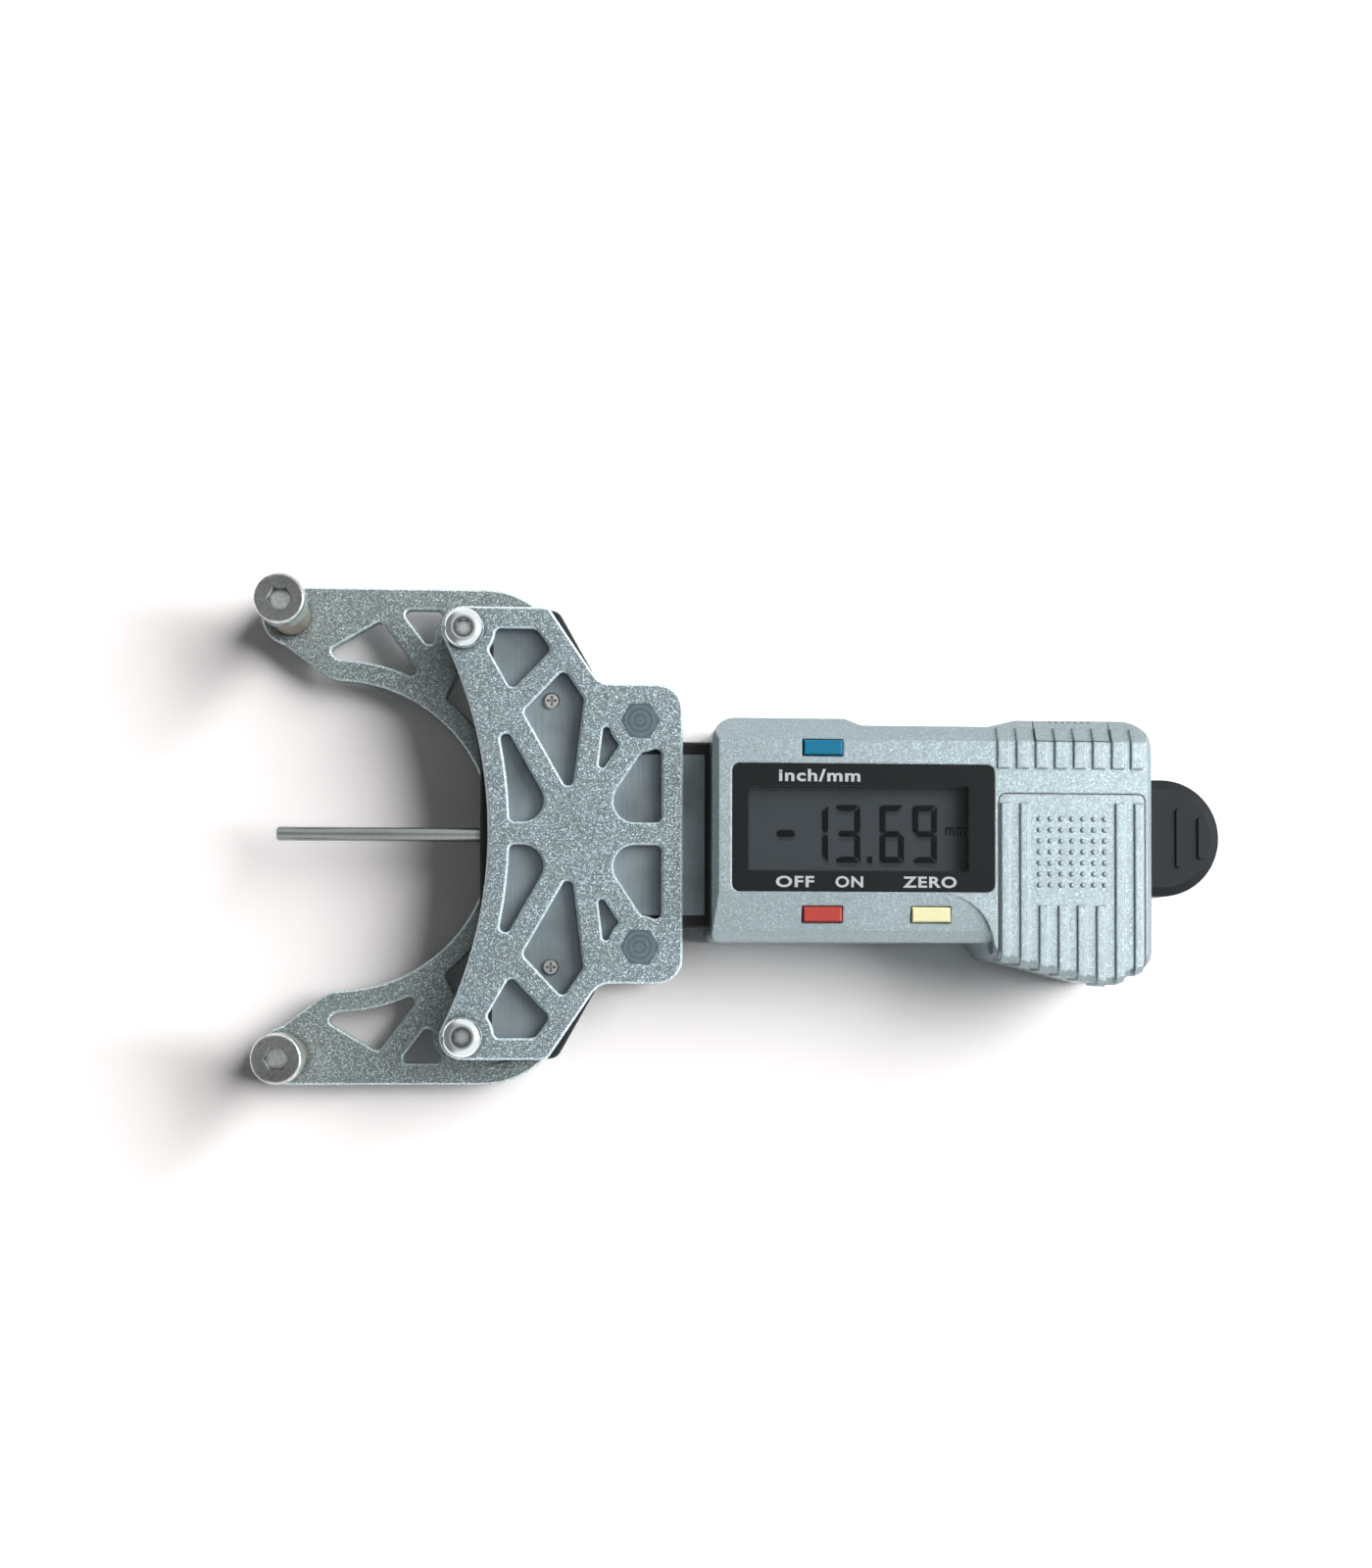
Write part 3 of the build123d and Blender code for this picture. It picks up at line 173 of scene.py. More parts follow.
def fine_finish(
    name, colour, metal, rough, grain, bump, speckle=0.0, cloud=0.0, edge=0.0, painted_shade_reach=0.0, shine=0.5
):
    """A material with fine grain on Object coordinates. Grain is the grain's size in metres,
    bump its depth, speckle how much single grains differ and cloud how much wide areas do.
    Edge is the radius to which sharp edges look broken. Painted shade darkens the base colour
    near corners, as far as the reach given after edge, and shine is how strongly a material
    that isn't metal mirrors."""
    noise_per_grain = 0.7
    clouds_per_metre = 90.0
    rough_spread = 0.06
    shade_samples = 6
    material = bpy.data.materials.new(name)
    material.use_nodes = True
    nodes, links = material.node_tree.nodes, material.node_tree.links
    shader = nodes["Principled BSDF"]
    shader.inputs["Metallic"].default_value = metal
    shader.inputs["Specular IOR Level"].default_value = shine
    place = nodes.new("ShaderNodeTexCoord")
    grains = nodes.new("ShaderNodeTexNoise")
    grains.inputs["Scale"].default_value = noise_per_grain / grain
    grains.inputs["Detail"].default_value = 3.0
    links.new(place.outputs["Object"], grains.inputs["Vector"])
    clouds = nodes.new("ShaderNodeTexNoise")
    clouds.inputs["Scale"].default_value = clouds_per_metre
    clouds.inputs["Detail"].default_value = 4.0
    links.new(place.outputs["Object"], clouds.inputs["Vector"])

    def spread(source, low, high):
        """The noise's usual range stretched to low and high."""
        ramp = nodes.new("ShaderNodeMapRange")
        ramp.inputs["From Min"].default_value = noise_low
        ramp.inputs["From Max"].default_value = noise_high
        ramp.inputs["To Min"].default_value = low
        ramp.inputs["To Max"].default_value = high
        links.new(source.outputs["Fac"], ramp.inputs["Value"])
        return ramp.outputs[0]

    tone = nodes.new("ShaderNodeMath")
    tone.operation = "MULTIPLY"
    links.new(spread(grains, 1.0 - speckle, 1.0 + speckle), tone.inputs[0])
    links.new(spread(clouds, 1.0 - cloud, 1.0 + cloud), tone.inputs[1])
    tinted = nodes.new("ShaderNodeVectorMath")
    tinted.operation = "SCALE"
    tinted.inputs[0].default_value = colour
    links.new(tone.outputs[0], tinted.inputs["Scale"])
    links.new(tinted.outputs[0], shader.inputs["Base Color"])
    smoothest, roughest = rough * (1 - rough_spread), min(1.0, rough * (1 + rough_spread))
    links.new(spread(clouds, smoothest, roughest), shader.inputs["Roughness"])
    relief = nodes.new("ShaderNodeBump")
    relief.inputs["Strength"].default_value = 1.0
    relief.inputs["Distance"].default_value = bump
    links.new(grains.outputs["Fac"], relief.inputs["Height"])
    links.new(relief.outputs[0], shader.inputs["Normal"])
    if edge:
        broken = nodes.new("ShaderNodeBevel")
        broken.inputs["Radius"].default_value = edge
        links.new(broken.outputs[0], relief.inputs["Normal"])
    # Painted shade: the base colour darkens near corners, within the given reach.
    if painted_shade_reach:
        shade = nodes.new("ShaderNodeAmbientOcclusion")
        shade.samples = shade_samples
        shade.inputs["Distance"].default_value = painted_shade_reach
        scale_colour(material, shade.outputs["AO"])
    return material


def scale_colour(material, factor):
    """Multiply a material's base colour by the output of one of its nodes."""
    nodes, links = material.node_tree.nodes, material.node_tree.links
    target = nodes["Principled BSDF"].inputs["Base Color"]
    scaled = nodes.new("ShaderNodeVectorMath")
    scaled.operation = "SCALE"
    links.new(target.links[0].from_socket, scaled.inputs[0])
    links.new(factor, scaled.inputs["Scale"])
    links.new(scaled.outputs[0], target)


def add_flakes(material, size, tilt, contrast):
    """Break a finish into flat grains of one size. Each leans a little its own way, so that
    a few of them catch the lamp, and a painted glint makes some much brighter than their
    neighbours."""
    rarity = 6.0
    painted_glint_gain = 6.0
    nodes, links = material.node_tree.nodes, material.node_tree.links
    target = nodes["Principled BSDF"].inputs["Normal"]
    place = nodes.new("ShaderNodeTexCoord")
    cells = nodes.new("ShaderNodeTexVoronoi")
    cells.inputs["Scale"].default_value = 1 / size
    links.new(place.outputs["Object"], cells.inputs["Vector"])
    lean = nodes.new("ShaderNodeVectorMath")
    lean.operation = "MULTIPLY_ADD"
    lean.inputs[1].default_value = (2 * tilt, 2 * tilt, 2 * tilt)
    lean.inputs[2].default_value = (-tilt, -tilt, -tilt)
    links.new(cells.outputs["Color"], lean.inputs[0])
    leaning = nodes.new("ShaderNodeVectorMath")
    leaning.operation = "ADD"
    links.new(target.links[0].from_socket, leaning.inputs[0])
    links.new(lean.outputs[0], leaning.inputs[1])
    unit = nodes.new("ShaderNodeVectorMath")
    unit.operation = "NORMALIZE"
    links.new(leaning.outputs[0], unit.inputs[0])
    links.new(unit.outputs[0], target)
    split = nodes.new("ShaderNodeSeparateColor")
    links.new(cells.outputs["Color"], split.inputs[0])
    rare = nodes.new("ShaderNodeMath")
    rare.operation = "POWER"
    rare.inputs[1].default_value = rarity
    links.new(split.outputs["Red"], rare.inputs[0])
    # Painted glints: a few flakes get a much brighter base colour.
    painted_glint = nodes.new("ShaderNodeMapRange")
    painted_glint.inputs["To Min"].default_value = 1.0 - contrast
    painted_glint.inputs["To Max"].default_value = 1.0 + painted_glint_gain * contrast
    links.new(rare.outputs[0], painted_glint.inputs["Value"])
    scale_colour(material, painted_glint.outputs[0])


def paint_edge_highlights(material, gain):
    """Paint a highlight into the colour of the broken edges, which are the faces that stand at
    half a right angle.
    """
    half_right_angle = 0.7071
    nearness = 0.1
    nodes, links = material.node_tree.nodes, material.node_tree.links
    place = nodes.new("ShaderNodeTexCoord")
    axes = nodes.new("ShaderNodeSeparateXYZ")
    links.new(place.outputs["Normal"], axes.inputs[0])
    slanted = nodes.new("ShaderNodeMath")
    slanted.operation = "COMPARE"
    slanted.inputs[1].default_value = half_right_angle
    slanted.inputs[2].default_value = nearness
    links.new(axes.outputs["Z"], slanted.inputs[0])
    bright = nodes.new("ShaderNodeMapRange")
    bright.inputs["To Min"].default_value = 1.0
    bright.inputs["To Max"].default_value = gain
    links.new(slanted.outputs[0], bright.inputs["Value"])
    scale_colour(material, bright.outputs[0])


def dress(material, *names):
    """Give CAD nodes this material."""
    for name in names:
        mesh = cad[name].data
        mesh.materials.clear()
        mesh.materials.append(material)


flake_size = 0.00012
flake_tilt = 0.10
flake_contrast = 0.24
# How much the painted highlight brightens the broken edges' colour.
edge_highlight_gain = 2.6
for node, colour, metal in (
    ("front_plate", (0.295, 0.365, 0.395), 0.55),
    ("rear_plate", (0.275, 0.33, 0.34), 0.45),
):
    blasted = fine_finish(
        "blasted_" + node, colour, metal=metal, rough=0.36, grain=0.0001, bump=0.000008,
        speckle=0.10, cloud=0.04, edge=0.0001, painted_shade_reach=0.001,
    )
    add_flakes(blasted, flake_size, flake_tilt, flake_contrast)
    paint_edge_highlights(blasted, edge_highlight_gain)
    dress(blasted, node)


# The posts that carry the belt: M4 cap screws in satin steel, each in a plain bronze sleeve,
# with a thin zinc plated nut behind the plate. Painted shade in rings makes their flat tops
# darker than their rims and the floors of their sockets.
def axis_distance(material, node, width):
    """How far a point of two mirrored round pieces, each of this width, is from its own axis."""
    nodes, links = material.node_tree.nodes, material.node_tree.links
    low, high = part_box(node)
    place = nodes.new("ShaderNodeTexCoord")
    side = nodes.new("ShaderNodeVectorMath")
    side.operation = "ABSOLUTE"
    links.new(place.outputs["Object"], side.inputs[0])
    middle = nodes.new("ShaderNodeVectorMath")
    middle.operation = "SUBTRACT"
    middle.inputs[1].default_value = (abs(low.x + high.x) / 2, high.y - width / 2, 0)
    links.new(side.outputs[0], middle.inputs[0])
    flat = nodes.new("ShaderNodeVectorMath")
    flat.operation = "MULTIPLY"
    flat.inputs[1].default_value = (1, 1, 0)
    links.new(middle.outputs[0], flat.inputs[0])
    reach = nodes.new("ShaderNodeVectorMath")
    reach.operation = "LENGTH"
    links.new(flat.outputs[0], reach.inputs[0])
    return reach.outputs["Value"]


def paint_shade_rings(material, node, width, rings):
    """Paint shade into the colour of two mirrored screw heads in rings, given as distances
    from the axis and tones.
    """
    nodes, links = material.node_tree.nodes, material.node_tree.links
    share = nodes.new("ShaderNodeMath")
    share.operation = "DIVIDE"
    share.inputs[1].default_value = width / 2
    links.new(axis_distance(material, node, width), share.inputs[0])
    ramp = nodes.new("ShaderNodeValToRGB")
    stops = ramp.color_ramp.elements
    stops.remove(stops[1])
    for distance, tone in rings:
        stop = stops.new(distance / (width / 2)) if distance else stops[0]
        stop.color = (tone, tone, tone, 1)
    links.new(share.outputs[0], ramp.inputs[0])
    scale_colour(material, ramp.outputs[0])


post_head = 0.007
satin_steel = fine_finish(
    "satin_steel", (0.68, 0.71, 0.69), metal=1.0, rough=0.20, grain=0.0004, bump=0.00001,
    speckle=0.16, cloud=0.35, edge=0.0001, painted_shade_reach=0.0007,
)
# Painted shade: the flat top darker than the socket's floor and the rim.
post_shade_rings = ((0, 1.0), (0.00135, 1.0), (0.0015, 0.5), (0.003, 0.5), (0.0033, 1.0))
paint_shade_rings(satin_steel, "post_screws", post_head, post_shade_rings)
dress(satin_steel, "post_screws")
sleeve_bronze = fine_finish(
    "sleeve_bronze", (0.50, 0.41, 0.31), metal=1.0, rough=0.36, grain=0.0003, bump=0.00001,
    speckle=0.08, cloud=0.15, painted_shade_reach=0.002,
)
dress(sleeve_bronze, "post_sleeves")
zinc = fine_finish(
    "zinc_plate", (0.60, 0.62, 0.65), metal=1.0, rough=0.33, grain=0.0003, bump=0.00001,
    speckle=0.05, cloud=0.08, edge=0.0001, painted_shade_reach=0.002,
)
dress(zinc, "post_nuts", "plate_nuts")

# The plates' hardware: polished steel button screws, with a dark ring of painted shade round
# each socket, and turned steel spacers between the plates. The slide's bar and pin and the beam
# face's tiny screws are of the same plain steel, and the probe is a darker drawn rod.
button_head = 0.0057
polished = fine_finish(
    "polished_steel", (0.82, 0.88, 0.89), metal=1.0, rough=0.05, grain=0.0004, bump=0.000002,
    speckle=0.02, cloud=0.05, painted_shade_reach=0.0007,
)
# Painted shade: a dark ring round the socket, inside the bright rim.
button_shade_rings = ((0, 0.9), (0.00095, 0.9), (0.0011, 0.26), (0.0014, 0.26), (0.00155, 1.0))
paint_shade_rings(polished, "plate_screws", button_head, button_shade_rings)
dress(polished, "plate_screws", "standoff_screws")
turned = fine_finish(
    "turned_steel", (0.60, 0.60, 0.59), metal=1.0, rough=0.26, grain=0.0003, bump=0.00001,
    speckle=0.06, cloud=0.10, painted_shade_reach=0.001,
)
dress(turned, "plate_spacers", "tab_pin", "slider_bar", "face_screws")
drawn = fine_finish(
    "drawn_steel", (0.32, 0.345, 0.34), metal=1.0, rough=0.26, grain=0.0003, bump=0.00001,
    speckle=0.06, cloud=0.12, painted_shade_reach=0.001,
)
dress(drawn, "probe_rod")

# The standoffs: dark stainless barrels, clinched from above. Their hexagons lie flush in the
# front plate and are faced off on a lathe, which leaves fine rings.
hexagon = 0.00475
ring_pitch = 0.0008
groove_tone, ridge_tone = 0.82, 1.22
faced = fine_finish(
    "faced_steel", (0.15, 0.195, 0.22), metal=1.0, rough=0.32, grain=0.00025, bump=0.000008,
    speckle=0.08, cloud=0.10, edge=0.00012, painted_shade_reach=0.001,
)
nodes, links = faced.node_tree.nodes, faced.node_tree.links
ring_wave = nodes.new("ShaderNodeMath")
ring_wave.operation = "PINGPONG"
ring_wave.inputs[1].default_value = ring_pitch / 2
links.new(axis_distance(faced, "standoffs", hexagon), ring_wave.inputs[0])
ring_tone = nodes.new("ShaderNodeMapRange")
ring_tone.inputs["From Max"].default_value = ring_pitch / 2
ring_tone.inputs["To Min"].default_value = groove_tone
ring_tone.inputs["To Max"].default_value = ridge_tone
links.new(ring_wave.outputs[0], ring_tone.inputs["Value"])
scale_colour(faced, ring_tone.outputs[0])
dress(faced, "standoffs")

# The T shaped base: black filled plastic with a fine moulded texture. It is clamped between
# the two plates, and its stem runs on into the display head.
moulded_black = fine_finish(
    "moulded_black", (0.016, 0.018, 0.021), metal=0.0, rough=0.5, grain=0.0002, bump=0.00002,
    speckle=0.1, cloud=0.1, edge=0.0001, shine=0.3,
)
dress(moulded_black, "t_beam")

# A thin face of steel is let into the base and held by two tiny screws. It is brushed across
# the stem and slightly stained.
line_scale = (7000, 160, 7000)
darkest_line, brightest_line = 0.90, 1.10

steel_face = fine_finish(
    "brushed_face", (0.25, 0.305, 0.33), metal=0.3, rough=0.34, grain=0.0003, bump=0.000004,
    speckle=0.03, cloud=0.30, shine=0.3,
)
nodes, links = steel_face.node_tree.nodes, steel_face.node_tree.links
brush_place = nodes.new("ShaderNodeTexCoord")
brush_stretch = nodes.new("ShaderNodeMapping")
brush_stretch.inputs["Scale"].default_value = line_scale
links.new(brush_place.outputs["Object"], brush_stretch.inputs["Vector"])
brush_lines = nodes.new("ShaderNodeTexNoise")
brush_lines.inputs["Scale"].default_value = 1.0
brush_lines.inputs["Detail"].default_value = 3.0
links.new(brush_stretch.outputs[0], brush_lines.inputs["Vector"])
brush_tone = nodes.new("ShaderNodeMapRange")
brush_tone.inputs["From Min"].default_value = noise_low
brush_tone.inputs["From Max"].default_value = noise_high
brush_tone.inputs["To Min"].default_value = darkest_line
brush_tone.inputs["To Max"].default_value = brightest_line
links.new(brush_lines.outputs["Fac"], brush_tone.inputs["Value"])
scale_colour(steel_face, brush_tone.outputs[0])
dress(steel_face, "beam_face")

# The push tab: moulded plastic in a very dark navy, pinned to the end of the bar that runs
# through the head.
tab_plastic = fine_finish(
    "tab_plastic", (0.014, 0.018, 0.022), metal=0.0, rough=0.42, grain=0.00022, bump=0.00002,
    speckle=0.1, cloud=0.1, edge=0.00015, shine=0.25,
)
dress(tab_plastic, "push_tab")

# The display head: silver plastic with metal flake, moulded with a fine texture. Black oxide
# screws close its shells from the back.
flake_silver = fine_finish(
    "flake_silver", (0.375, 0.46, 0.49), metal=0.72, rough=0.36, grain=0.00015, bump=0.000004,
    speckle=0.04, cloud=0.02, edge=0.0004,
)
# The flakes lean a little, and a few get a faint painted glint.
silver_flake_size = 0.00013
silver_flake_tilt = 0.05
silver_flake_contrast = 0.06
add_flakes(flake_silver, silver_flake_size, silver_flake_tilt, silver_flake_contrast)
dress(flake_silver, "head_front_shell", "head_rear_shell", "battery_cover", "port_cover")
black_oxide = fine_finish(
    "black_oxide", (0.16, 0.16, 0.16), metal=0.8, rough=0.30, grain=0.0002, bump=0.00001,
    speckle=0.1, cloud=0.1, painted_shade_reach=0.001,
)
dress(black_oxide, "shell_screws", "stem_screws")

# The window: a clear plastic pane, let into the head, with a black border printed on its back.
# The border leaves an opening with soft edges, through which the display is seen.
window_low, window_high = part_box("display_window")


def from_corner(x, y):
    """A place on the window, given in millimetres from its lower left corner."""
    return (window_low.x + x / 1000, window_low.y + y / 1000)


opening_low, opening_high = from_corner(2.2, 2.8), from_corner(33.2, 14.76)
opening_blur = 0.00025
clear_colour = (0.96, 0.97, 0.98, 1)
gloss_colour = (0.20, 0.20, 0.20, 1)
gloss_rough = 0.12
gloss_head_on = 0.035
gloss_power = 5.0

border = fine_finish(
    "window_border", (0.014, 0.017, 0.018), metal=0.0, rough=0.25, grain=0.0002, bump=0.000002,
    speckle=0.05, cloud=0.05, shine=0.15,
)
nodes, links = border.node_tree.nodes, border.node_tree.links
border_shader = nodes["Principled BSDF"]
border_out = nodes["Material Output"]
pane_clear = nodes.new("ShaderNodeBsdfTransparent")
pane_clear.inputs["Color"].default_value = clear_colour
pane_gloss = nodes.new("ShaderNodeBsdfGlossy")
pane_gloss.inputs["Roughness"].default_value = gloss_rough
pane_gloss.inputs["Color"].default_value = gloss_colour
pane_turn = nodes.new("ShaderNodeLayerWeight")
pane_graze = nodes.new("ShaderNodeMath")
pane_graze.operation = "POWER"
pane_graze.inputs[1].default_value = gloss_power
links.new(pane_turn.outputs["Facing"], pane_graze.inputs[0])
pane_edge = nodes.new("ShaderNodeMapRange")
pane_edge.inputs["To Min"].default_value = gloss_head_on
links.new(pane_graze.outputs[0], pane_edge.inputs["Value"])
pane = nodes.new("ShaderNodeMixShader")
links.new(pane_edge.outputs[0], pane.inputs[0])
links.new(pane_clear.outputs[0], pane.inputs[1])
links.new(pane_gloss.outputs[0], pane.inputs[2])
pane_place = nodes.new("ShaderNodeTexCoord")
pane_axes = nodes.new("ShaderNodeSeparateXYZ")
links.new(pane_place.outputs["Object"], pane_axes.inputs[0])


def opening_part(axis, low, high):
    """One inside the opening along one axis, falling softly to zero outside it."""
    middle = nodes.new("ShaderNodeMath")
    middle.operation = "SUBTRACT"
    middle.inputs[1].default_value = (low + high) / 2
    links.new(pane_axes.outputs[axis], middle.inputs[0])
    reach = nodes.new("ShaderNodeMath")
    reach.operation = "ABSOLUTE"
    links.new(middle.outputs[0], reach.inputs[0])
    inside = nodes.new("ShaderNodeMapRange")
    inside.interpolation_type = "SMOOTHSTEP"
    inside.inputs["From Min"].default_value = (high - low) / 2 + opening_blur
    inside.inputs["From Max"].default_value = (high - low) / 2 - opening_blur
    links.new(reach.outputs[0], inside.inputs["Value"])
    return inside.outputs[0]


opening = nodes.new("ShaderNodeMath")
opening.operation = "MULTIPLY"
links.new(opening_part("X", opening_low[0], opening_high[0]), opening.inputs[0])
links.new(opening_part("Y", opening_low[1], opening_high[1]), opening.inputs[1])
window_mix = nodes.new("ShaderNodeMixShader")
links.new(opening.outputs[0], window_mix.inputs[0])
links.new(border_shader.outputs[0], window_mix.inputs[1])
links.new(pane.outputs[0], window_mix.inputs[2])
links.new(window_mix.outputs[0], border_out.inputs["Surface"])
dress(border, "display_window")

# The window's legends: pale grey paint pad printed on the pane, a hundredth of a millimetre
# thick, over the buttons that they name.
print_grey = fine_finish(
    "print_grey", (0.56, 0.61, 0.64), metal=0.0, rough=0.45, grain=0.0002, bump=0.000002,
    speckle=0.05, cloud=0.05,
)
print_thickness = 0.00001
letter_space = 1.12
letter_depth = 0.02
letter_curve_steps = 6
legend_weight = 0.028
pane_top = window_high.z


def printed(name, words, low_corner, high_corner, floor_z, material, weight):
    """Words as a thin flat piece that fills the box between two corners and lies on floor_z."""
    curve = bpy.data.curves.new(name, "FONT")
    curve.body = words
    curve.extrude = letter_depth
    curve.offset = weight
    curve.space_character = letter_space
    curve.resolution_u = letter_curve_steps
    typed = bpy.data.objects.new(name + "_curve", curve)
    scene.collection.objects.link(typed)
    solved = typed.evaluated_get(bpy.context.evaluated_depsgraph_get())
    mesh = bpy.data.meshes.new_from_object(solved)
    bpy.data.objects.remove(typed)
    low = [min(vertex.co[axis] for vertex in mesh.vertices) for axis in range(3)]
    high = [max(vertex.co[axis] for vertex in mesh.vertices) for axis in range(3)]
    for vertex in mesh.vertices:
        share = [(vertex.co[axis] - low[axis]) / (high[axis] - low[axis]) for axis in range(3)]
        vertex.co.x = low_corner[0] + (high_corner[0] - low_corner[0]) * share[0]
        vertex.co.y = low_corner[1] + (high_corner[1] - low_corner[1]) * share[1]
        vertex.co.z = floor_z + print_thickness * share[2]
    mesh.name = name
    mesh.materials.clear()
    mesh.materials.append(material)
    piece = bpy.data.objects.new(name, mesh)
    scene.collection.objects.link(piece)
    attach(piece, "gauge")


for name, words, low_corner, high_corner in (
    ("legend_unit", "inch/mm", from_corner(6.45, 15.3), from_corner(17.9, 17.05)),
    ("legend_off", "OFF", from_corner(6.05, 0.5), from_corner(11.4, 2.1)),
    ("legend_on", "ON", from_corner(14.4, 0.5), from_corner(18.3, 2.1)),
    ("legend_zero", "ZERO", from_corner(23.9, 0.5), from_corner(31.5, 2.1)),
):
    printed(name, words, low_corner, high_corner, pane_top, print_grey, legend_weight)

# The display: a grey liquid crystal panel. Its dark segments lie a hair above it, and under
# each lies a darker copy, dropped a little, as its painted soft shadow on the reflector, which
# is what makes such a display look deep. Sizes and places on it are in millimetres.
display_glass = fine_finish(
    "display_glass", (0.074, 0.085, 0.094), metal=0.0, rough=0.5, grain=0.0002, bump=0.000002,
    speckle=0.05, cloud=0.05, shine=0.1,
)
dress(display_glass, "lcd_panel")
segment_ink = fine_finish(
    "segment_ink", (0.003, 0.004, 0.006), metal=0.0, rough=0.6, grain=0.0002, bump=0.000001,
    speckle=0.05, cloud=0.05, shine=0.05,
)
# The colour of the segments' painted shadows.
painted_segment_shadow = fine_finish(
    "painted_segment_shadow", (0.050, 0.058, 0.066), metal=0.0, rough=0.6, grain=0.0002, bump=0.000001,
    speckle=0.05, cloud=0.05, shine=0.1,
)
display_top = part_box("lcd_panel")[1].z
ink_z = display_top + 2 * print_thickness
painted_shadow_drop = 0.55
stroke = 0.88
gap = 0.09
digit_low, digit_high = 4.05, 12.2
unit_low, unit_high = from_corner(30.2, 8.0), from_corner(33.1, 9.2)
unit_weight = 0.02


def flat_shapes(name, outlines, floor_z, drop, material):
    """Thin closed plates with the given outlines, in millimetres from the window's corner."""
    shapes = bmesh.new()
    for outline in outlines:
        corners = [from_corner(x, y - drop) for x, y in outline]
        face = shapes.faces.new([shapes.verts.new((x, y, floor_z)) for x, y in corners])
        risen = bmesh.ops.extrude_face_region(shapes, geom=[face])
        tops = [part for part in risen["geom"] if isinstance(part, bmesh.types.BMVert)]
        bmesh.ops.translate(shapes, vec=(0, 0, print_thickness), verts=tops)
    bmesh.ops.recalc_face_normals(shapes, faces=shapes.faces)
    mesh = bpy.data.meshes.new(name)
    shapes.to_mesh(mesh)
    shapes.free()
    mesh.materials.append(material)
    piece = bpy.data.objects.new(name, mesh)
    scene.collection.objects.link(piece)
    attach(piece, "gauge")


def digit(left, right, lit):
    """Outlines of the lit segments of one digit: t top, m middle, b bottom, and the four
    upright ones, named by l or r for the side and u or d for the upper or lower half."""
    middle = (digit_low + digit_high) / 2
    outlines = {
        "m": [
            (left + stroke / 2, middle),
            (left + stroke, middle + stroke / 2),
            (right - stroke, middle + stroke / 2),
            (right - stroke / 2, middle),
            (right - stroke, middle - stroke / 2),
            (left + stroke, middle - stroke / 2),
        ],
    }
    for name, end, inward in (("t", digit_high, -1), ("b", digit_low, 1)):
        outlines[name] = [
            (left + stroke / 2, end),
            (right - 2 * gap, end),
            (right - stroke - gap, end + inward * stroke),
            (left + stroke + gap, end + inward * stroke),
            (left + gap, end + inward * stroke / 2),
        ]
        for side, outer, across in (("l", left, 1), ("r", right, -1)):
            outlines[side + ("u" if name == "t" else "d")] = [
                (outer, end + inward * 2 * gap),
                (outer, middle - inward * stroke / 2),
                (outer + across * stroke / 2, middle - inward * gap),
                (outer + across * stroke, middle - inward * (stroke / 2 + gap)),
                (outer + across * stroke, end + inward * (stroke + gap)),
            ]
    return [outlines[name] for name in lit]


minus_sign = [(6.2, 8.1), (6.6, 8.6), (8.6, 8.6), (9.0, 8.1), (8.6, 7.6), (6.6, 7.6)]
decimal_point = [(19.1, 4.05), (19.85, 4.05), (19.85, 4.95), (19.1, 4.95)]
shown = [minus_sign, decimal_point]
shown += digit(10.1, 13.6, ["ru", "rd"])
shown += digit(14.5, 18.15, ["t", "m", "b", "ru", "rd"])
shown += digit(20.85, 24.35, ["t", "m", "b", "lu", "ld", "rd"])
shown += digit(25.5, 29.05, ["t", "m", "b", "lu", "ru", "rd"])
flat_shapes("display_segments", shown, ink_z, 0, segment_ink)
# The segments' painted shadows: darker copies, dropped a little, on the panel.
flat_shapes("display_painted_shadows", shown, display_top, painted_shadow_drop, painted_segment_shadow)
printed("display_unit", "mm", unit_low, unit_high, ink_z, segment_ink, unit_weight)

# The buttons: three small moulded keys with a satin skin, each over a dome on the board. Blue
# changes the unit, red switches the gauge on and off and yellow sets it to zero.
for name, colour, shine, node in (
    ("blue_button", (0.008, 0.19, 0.34), 0.25, "button_unit"),
    ("red_button", (0.54, 0.07, 0.055), 0.3, "button_power"),
    ("yellow_button", (0.97, 0.95, 0.56), 0.5, "button_zero"),
):
    skin = fine_finish(
        name, colour, metal=0.0, rough=0.35, grain=0.0002, bump=0.00001, speckle=0.05, cloud=0.05,
        shine=shine,
    )
    dress(skin, node)

# The moulded grips: forty-nine low domes in a square between the battery cover's ribs, and a
# row of tiny bumps along the port cover's edge, each half sunk in its cover's face.
rib_height = 0.00035
domes_inset = 0.00815
bumps_inset = 0.00022
bumps_drop = 0.00196
dome_segments, dome_rings = 16, 10
head_face_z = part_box("head_front_shell")[1].z - rib_height
cover_low, cover_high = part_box("battery_cover")
port_low, port_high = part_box("port_cover")
cover_middle_x = (cover_low.x + cover_high.x) / 2
port_middle_x = (port_low.x + port_high.x) / 2

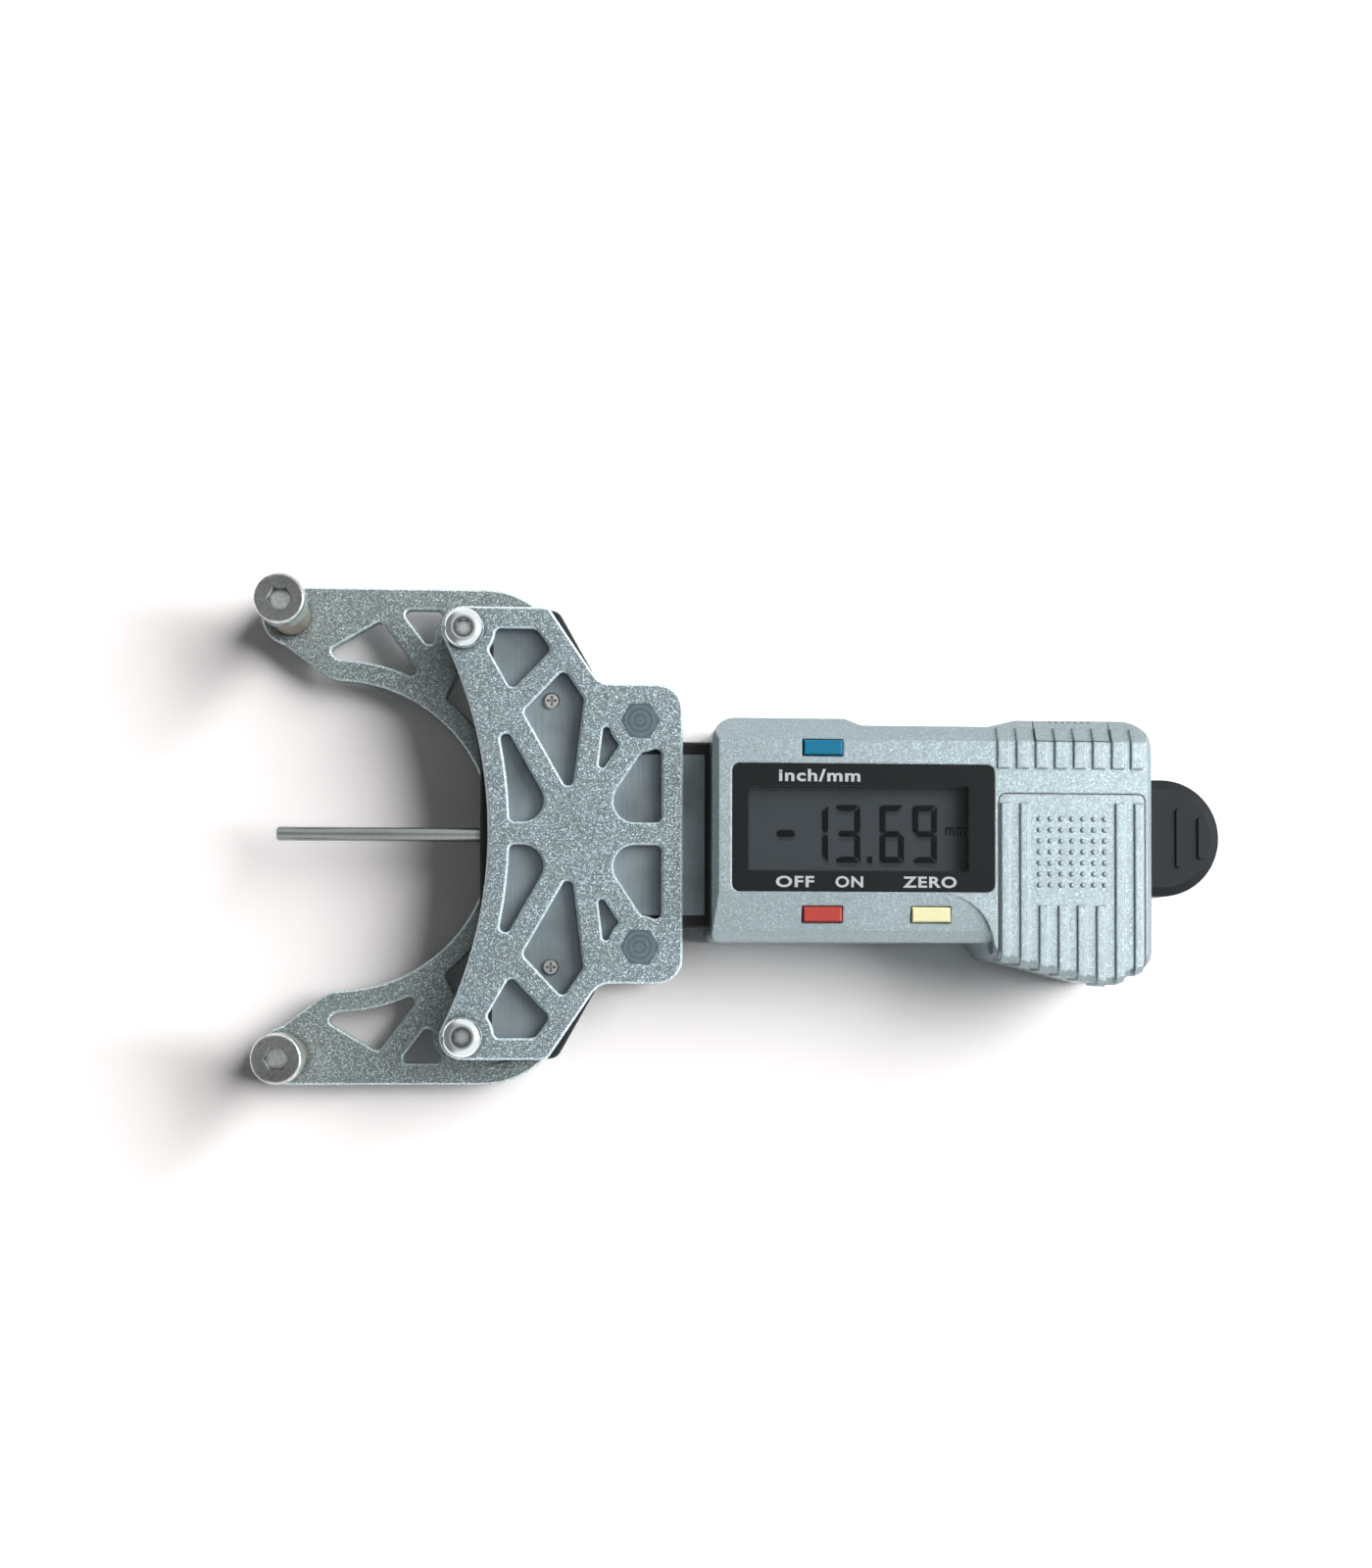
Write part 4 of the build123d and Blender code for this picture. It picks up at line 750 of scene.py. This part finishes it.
grip_tree = bpy.data.node_groups.new("moulded_grip", "GeometryNodeTree")
grip_tree.interface.new_socket("Geometry", in_out="OUTPUT", socket_type="NodeSocketGeometry")
grip_inputs = {
    "Columns": "NodeSocketInt",
    "Rows": "NodeSocketInt",
    "Pitch": "NodeSocketFloat",
    "Dome radius": "NodeSocketFloat",
    "Dome flatness": "NodeSocketFloat",
    "Middle": "NodeSocketVector",
}
sockets = {
    name: grip_tree.interface.new_socket(name, in_out="INPUT", socket_type=kind)
    for name, kind in grip_inputs.items()
}
nodes, links = grip_tree.nodes, grip_tree.links
group_in = nodes.new("NodeGroupInput")
group_out = nodes.new("NodeGroupOutput")
grid = nodes.new("GeometryNodeMeshGrid")
for count, across in (("Columns", "X"), ("Rows", "Y")):
    links.new(group_in.outputs[count], grid.inputs["Vertices " + across])
    gaps = nodes.new("ShaderNodeMath")
    gaps.operation = "SUBTRACT"
    gaps.inputs[1].default_value = 1
    links.new(group_in.outputs[count], gaps.inputs[0])
    side = nodes.new("ShaderNodeMath")
    side.operation = "MULTIPLY"
    links.new(gaps.outputs[0], side.inputs[0])
    links.new(group_in.outputs["Pitch"], side.inputs[1])
    links.new(side.outputs[0], grid.inputs["Size " + across])
dome = nodes.new("GeometryNodeMeshUVSphere")
dome.inputs["Segments"].default_value = dome_segments
dome.inputs["Rings"].default_value = dome_rings
links.new(group_in.outputs["Dome radius"], dome.inputs["Radius"])
dome_scale = nodes.new("ShaderNodeCombineXYZ")
dome_scale.inputs["X"].default_value = 1.0
dome_scale.inputs["Y"].default_value = 1.0
links.new(group_in.outputs["Dome flatness"], dome_scale.inputs["Z"])
placed = nodes.new("GeometryNodeInstanceOnPoints")
links.new(grid.outputs["Mesh"], placed.inputs["Points"])
links.new(dome.outputs["Mesh"], placed.inputs["Instance"])
links.new(dome_scale.outputs[0], placed.inputs["Scale"])
moved = nodes.new("GeometryNodeTransform")
links.new(group_in.outputs["Middle"], moved.inputs["Translation"])
links.new(placed.outputs[0], moved.inputs["Geometry"])
real = nodes.new("GeometryNodeRealizeInstances")
links.new(moved.outputs[0], real.inputs[0])
painted = nodes.new("GeometryNodeSetMaterial")
painted.inputs["Material"].default_value = flake_silver
links.new(real.outputs[0], painted.inputs["Geometry"])
links.new(painted.outputs[0], group_out.inputs["Geometry"])

for name, body, values in (
    (
        "cover_domes",
        "battery_cover",
        {
            "Columns": 7,
            "Rows": 7,
            "Pitch": 0.00155,
            "Dome radius": 0.0004,
            "Dome flatness": 0.5,
            "Middle": (cover_middle_x, cover_high.y - domes_inset, head_face_z),
        },
    ),
    (
        "port_bumps",
        "port_cover",
        {
            "Columns": 7,
            "Rows": 1,
            "Pitch": 0.00092,
            "Dome radius": 0.00026,
            "Dome flatness": 1.0,
            "Middle": (port_middle_x, port_high.y - bumps_inset, head_face_z - bumps_drop),
        },
    ),
):
    maker = bpy.data.objects.new(name + "_maker", bpy.data.meshes.new(name + "_maker"))
    scene.collection.objects.link(maker)
    grip_modifier = maker.modifiers.new("grip", "NODES")
    grip_modifier.node_group = grip_tree
    for input_name, value in values.items():
        grip_modifier[sockets[input_name].identifier] = value
    made = maker.evaluated_get(bpy.context.evaluated_depsgraph_get())
    grip = bpy.data.objects.new(name, bpy.data.meshes.new_from_object(made))
    bpy.data.objects.remove(maker)
    scene.collection.objects.link(grip)
    for face in grip.data.polygons:
        face.use_smooth = True
    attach(grip, body)

# Pieces inside the head, seen when its covers are off: the display's rubber connectors, the
# green board, the switches' pressed steel domes, the coin cell, and contacts bent from bronze
# strip, as is the spring under the bar.
connector_rubber = fine_finish(
    "connector_rubber", (0.08, 0.08, 0.09), metal=0.0, rough=0.7, grain=0.0003, bump=0.00001,
    speckle=0.05, cloud=0.05,
)
dress(connector_rubber, "contact_strips")
solder_mask = fine_finish(
    "solder_mask", (0.01, 0.09, 0.03), metal=0.0, rough=0.4, grain=0.0003, bump=0.00001,
    speckle=0.05, cloud=0.1,
)
dress(solder_mask, "circuit_board")
spring_bronze = fine_finish(
    "spring_bronze", (0.6, 0.4, 0.16), metal=1.0, rough=0.3, grain=0.0003, bump=0.00001,
    speckle=0.05, cloud=0.1,
)
dress(spring_bronze, "battery_contacts", "port_contacts", "slide_spring")
dress(zinc, "switch_domes", "coin_cell")
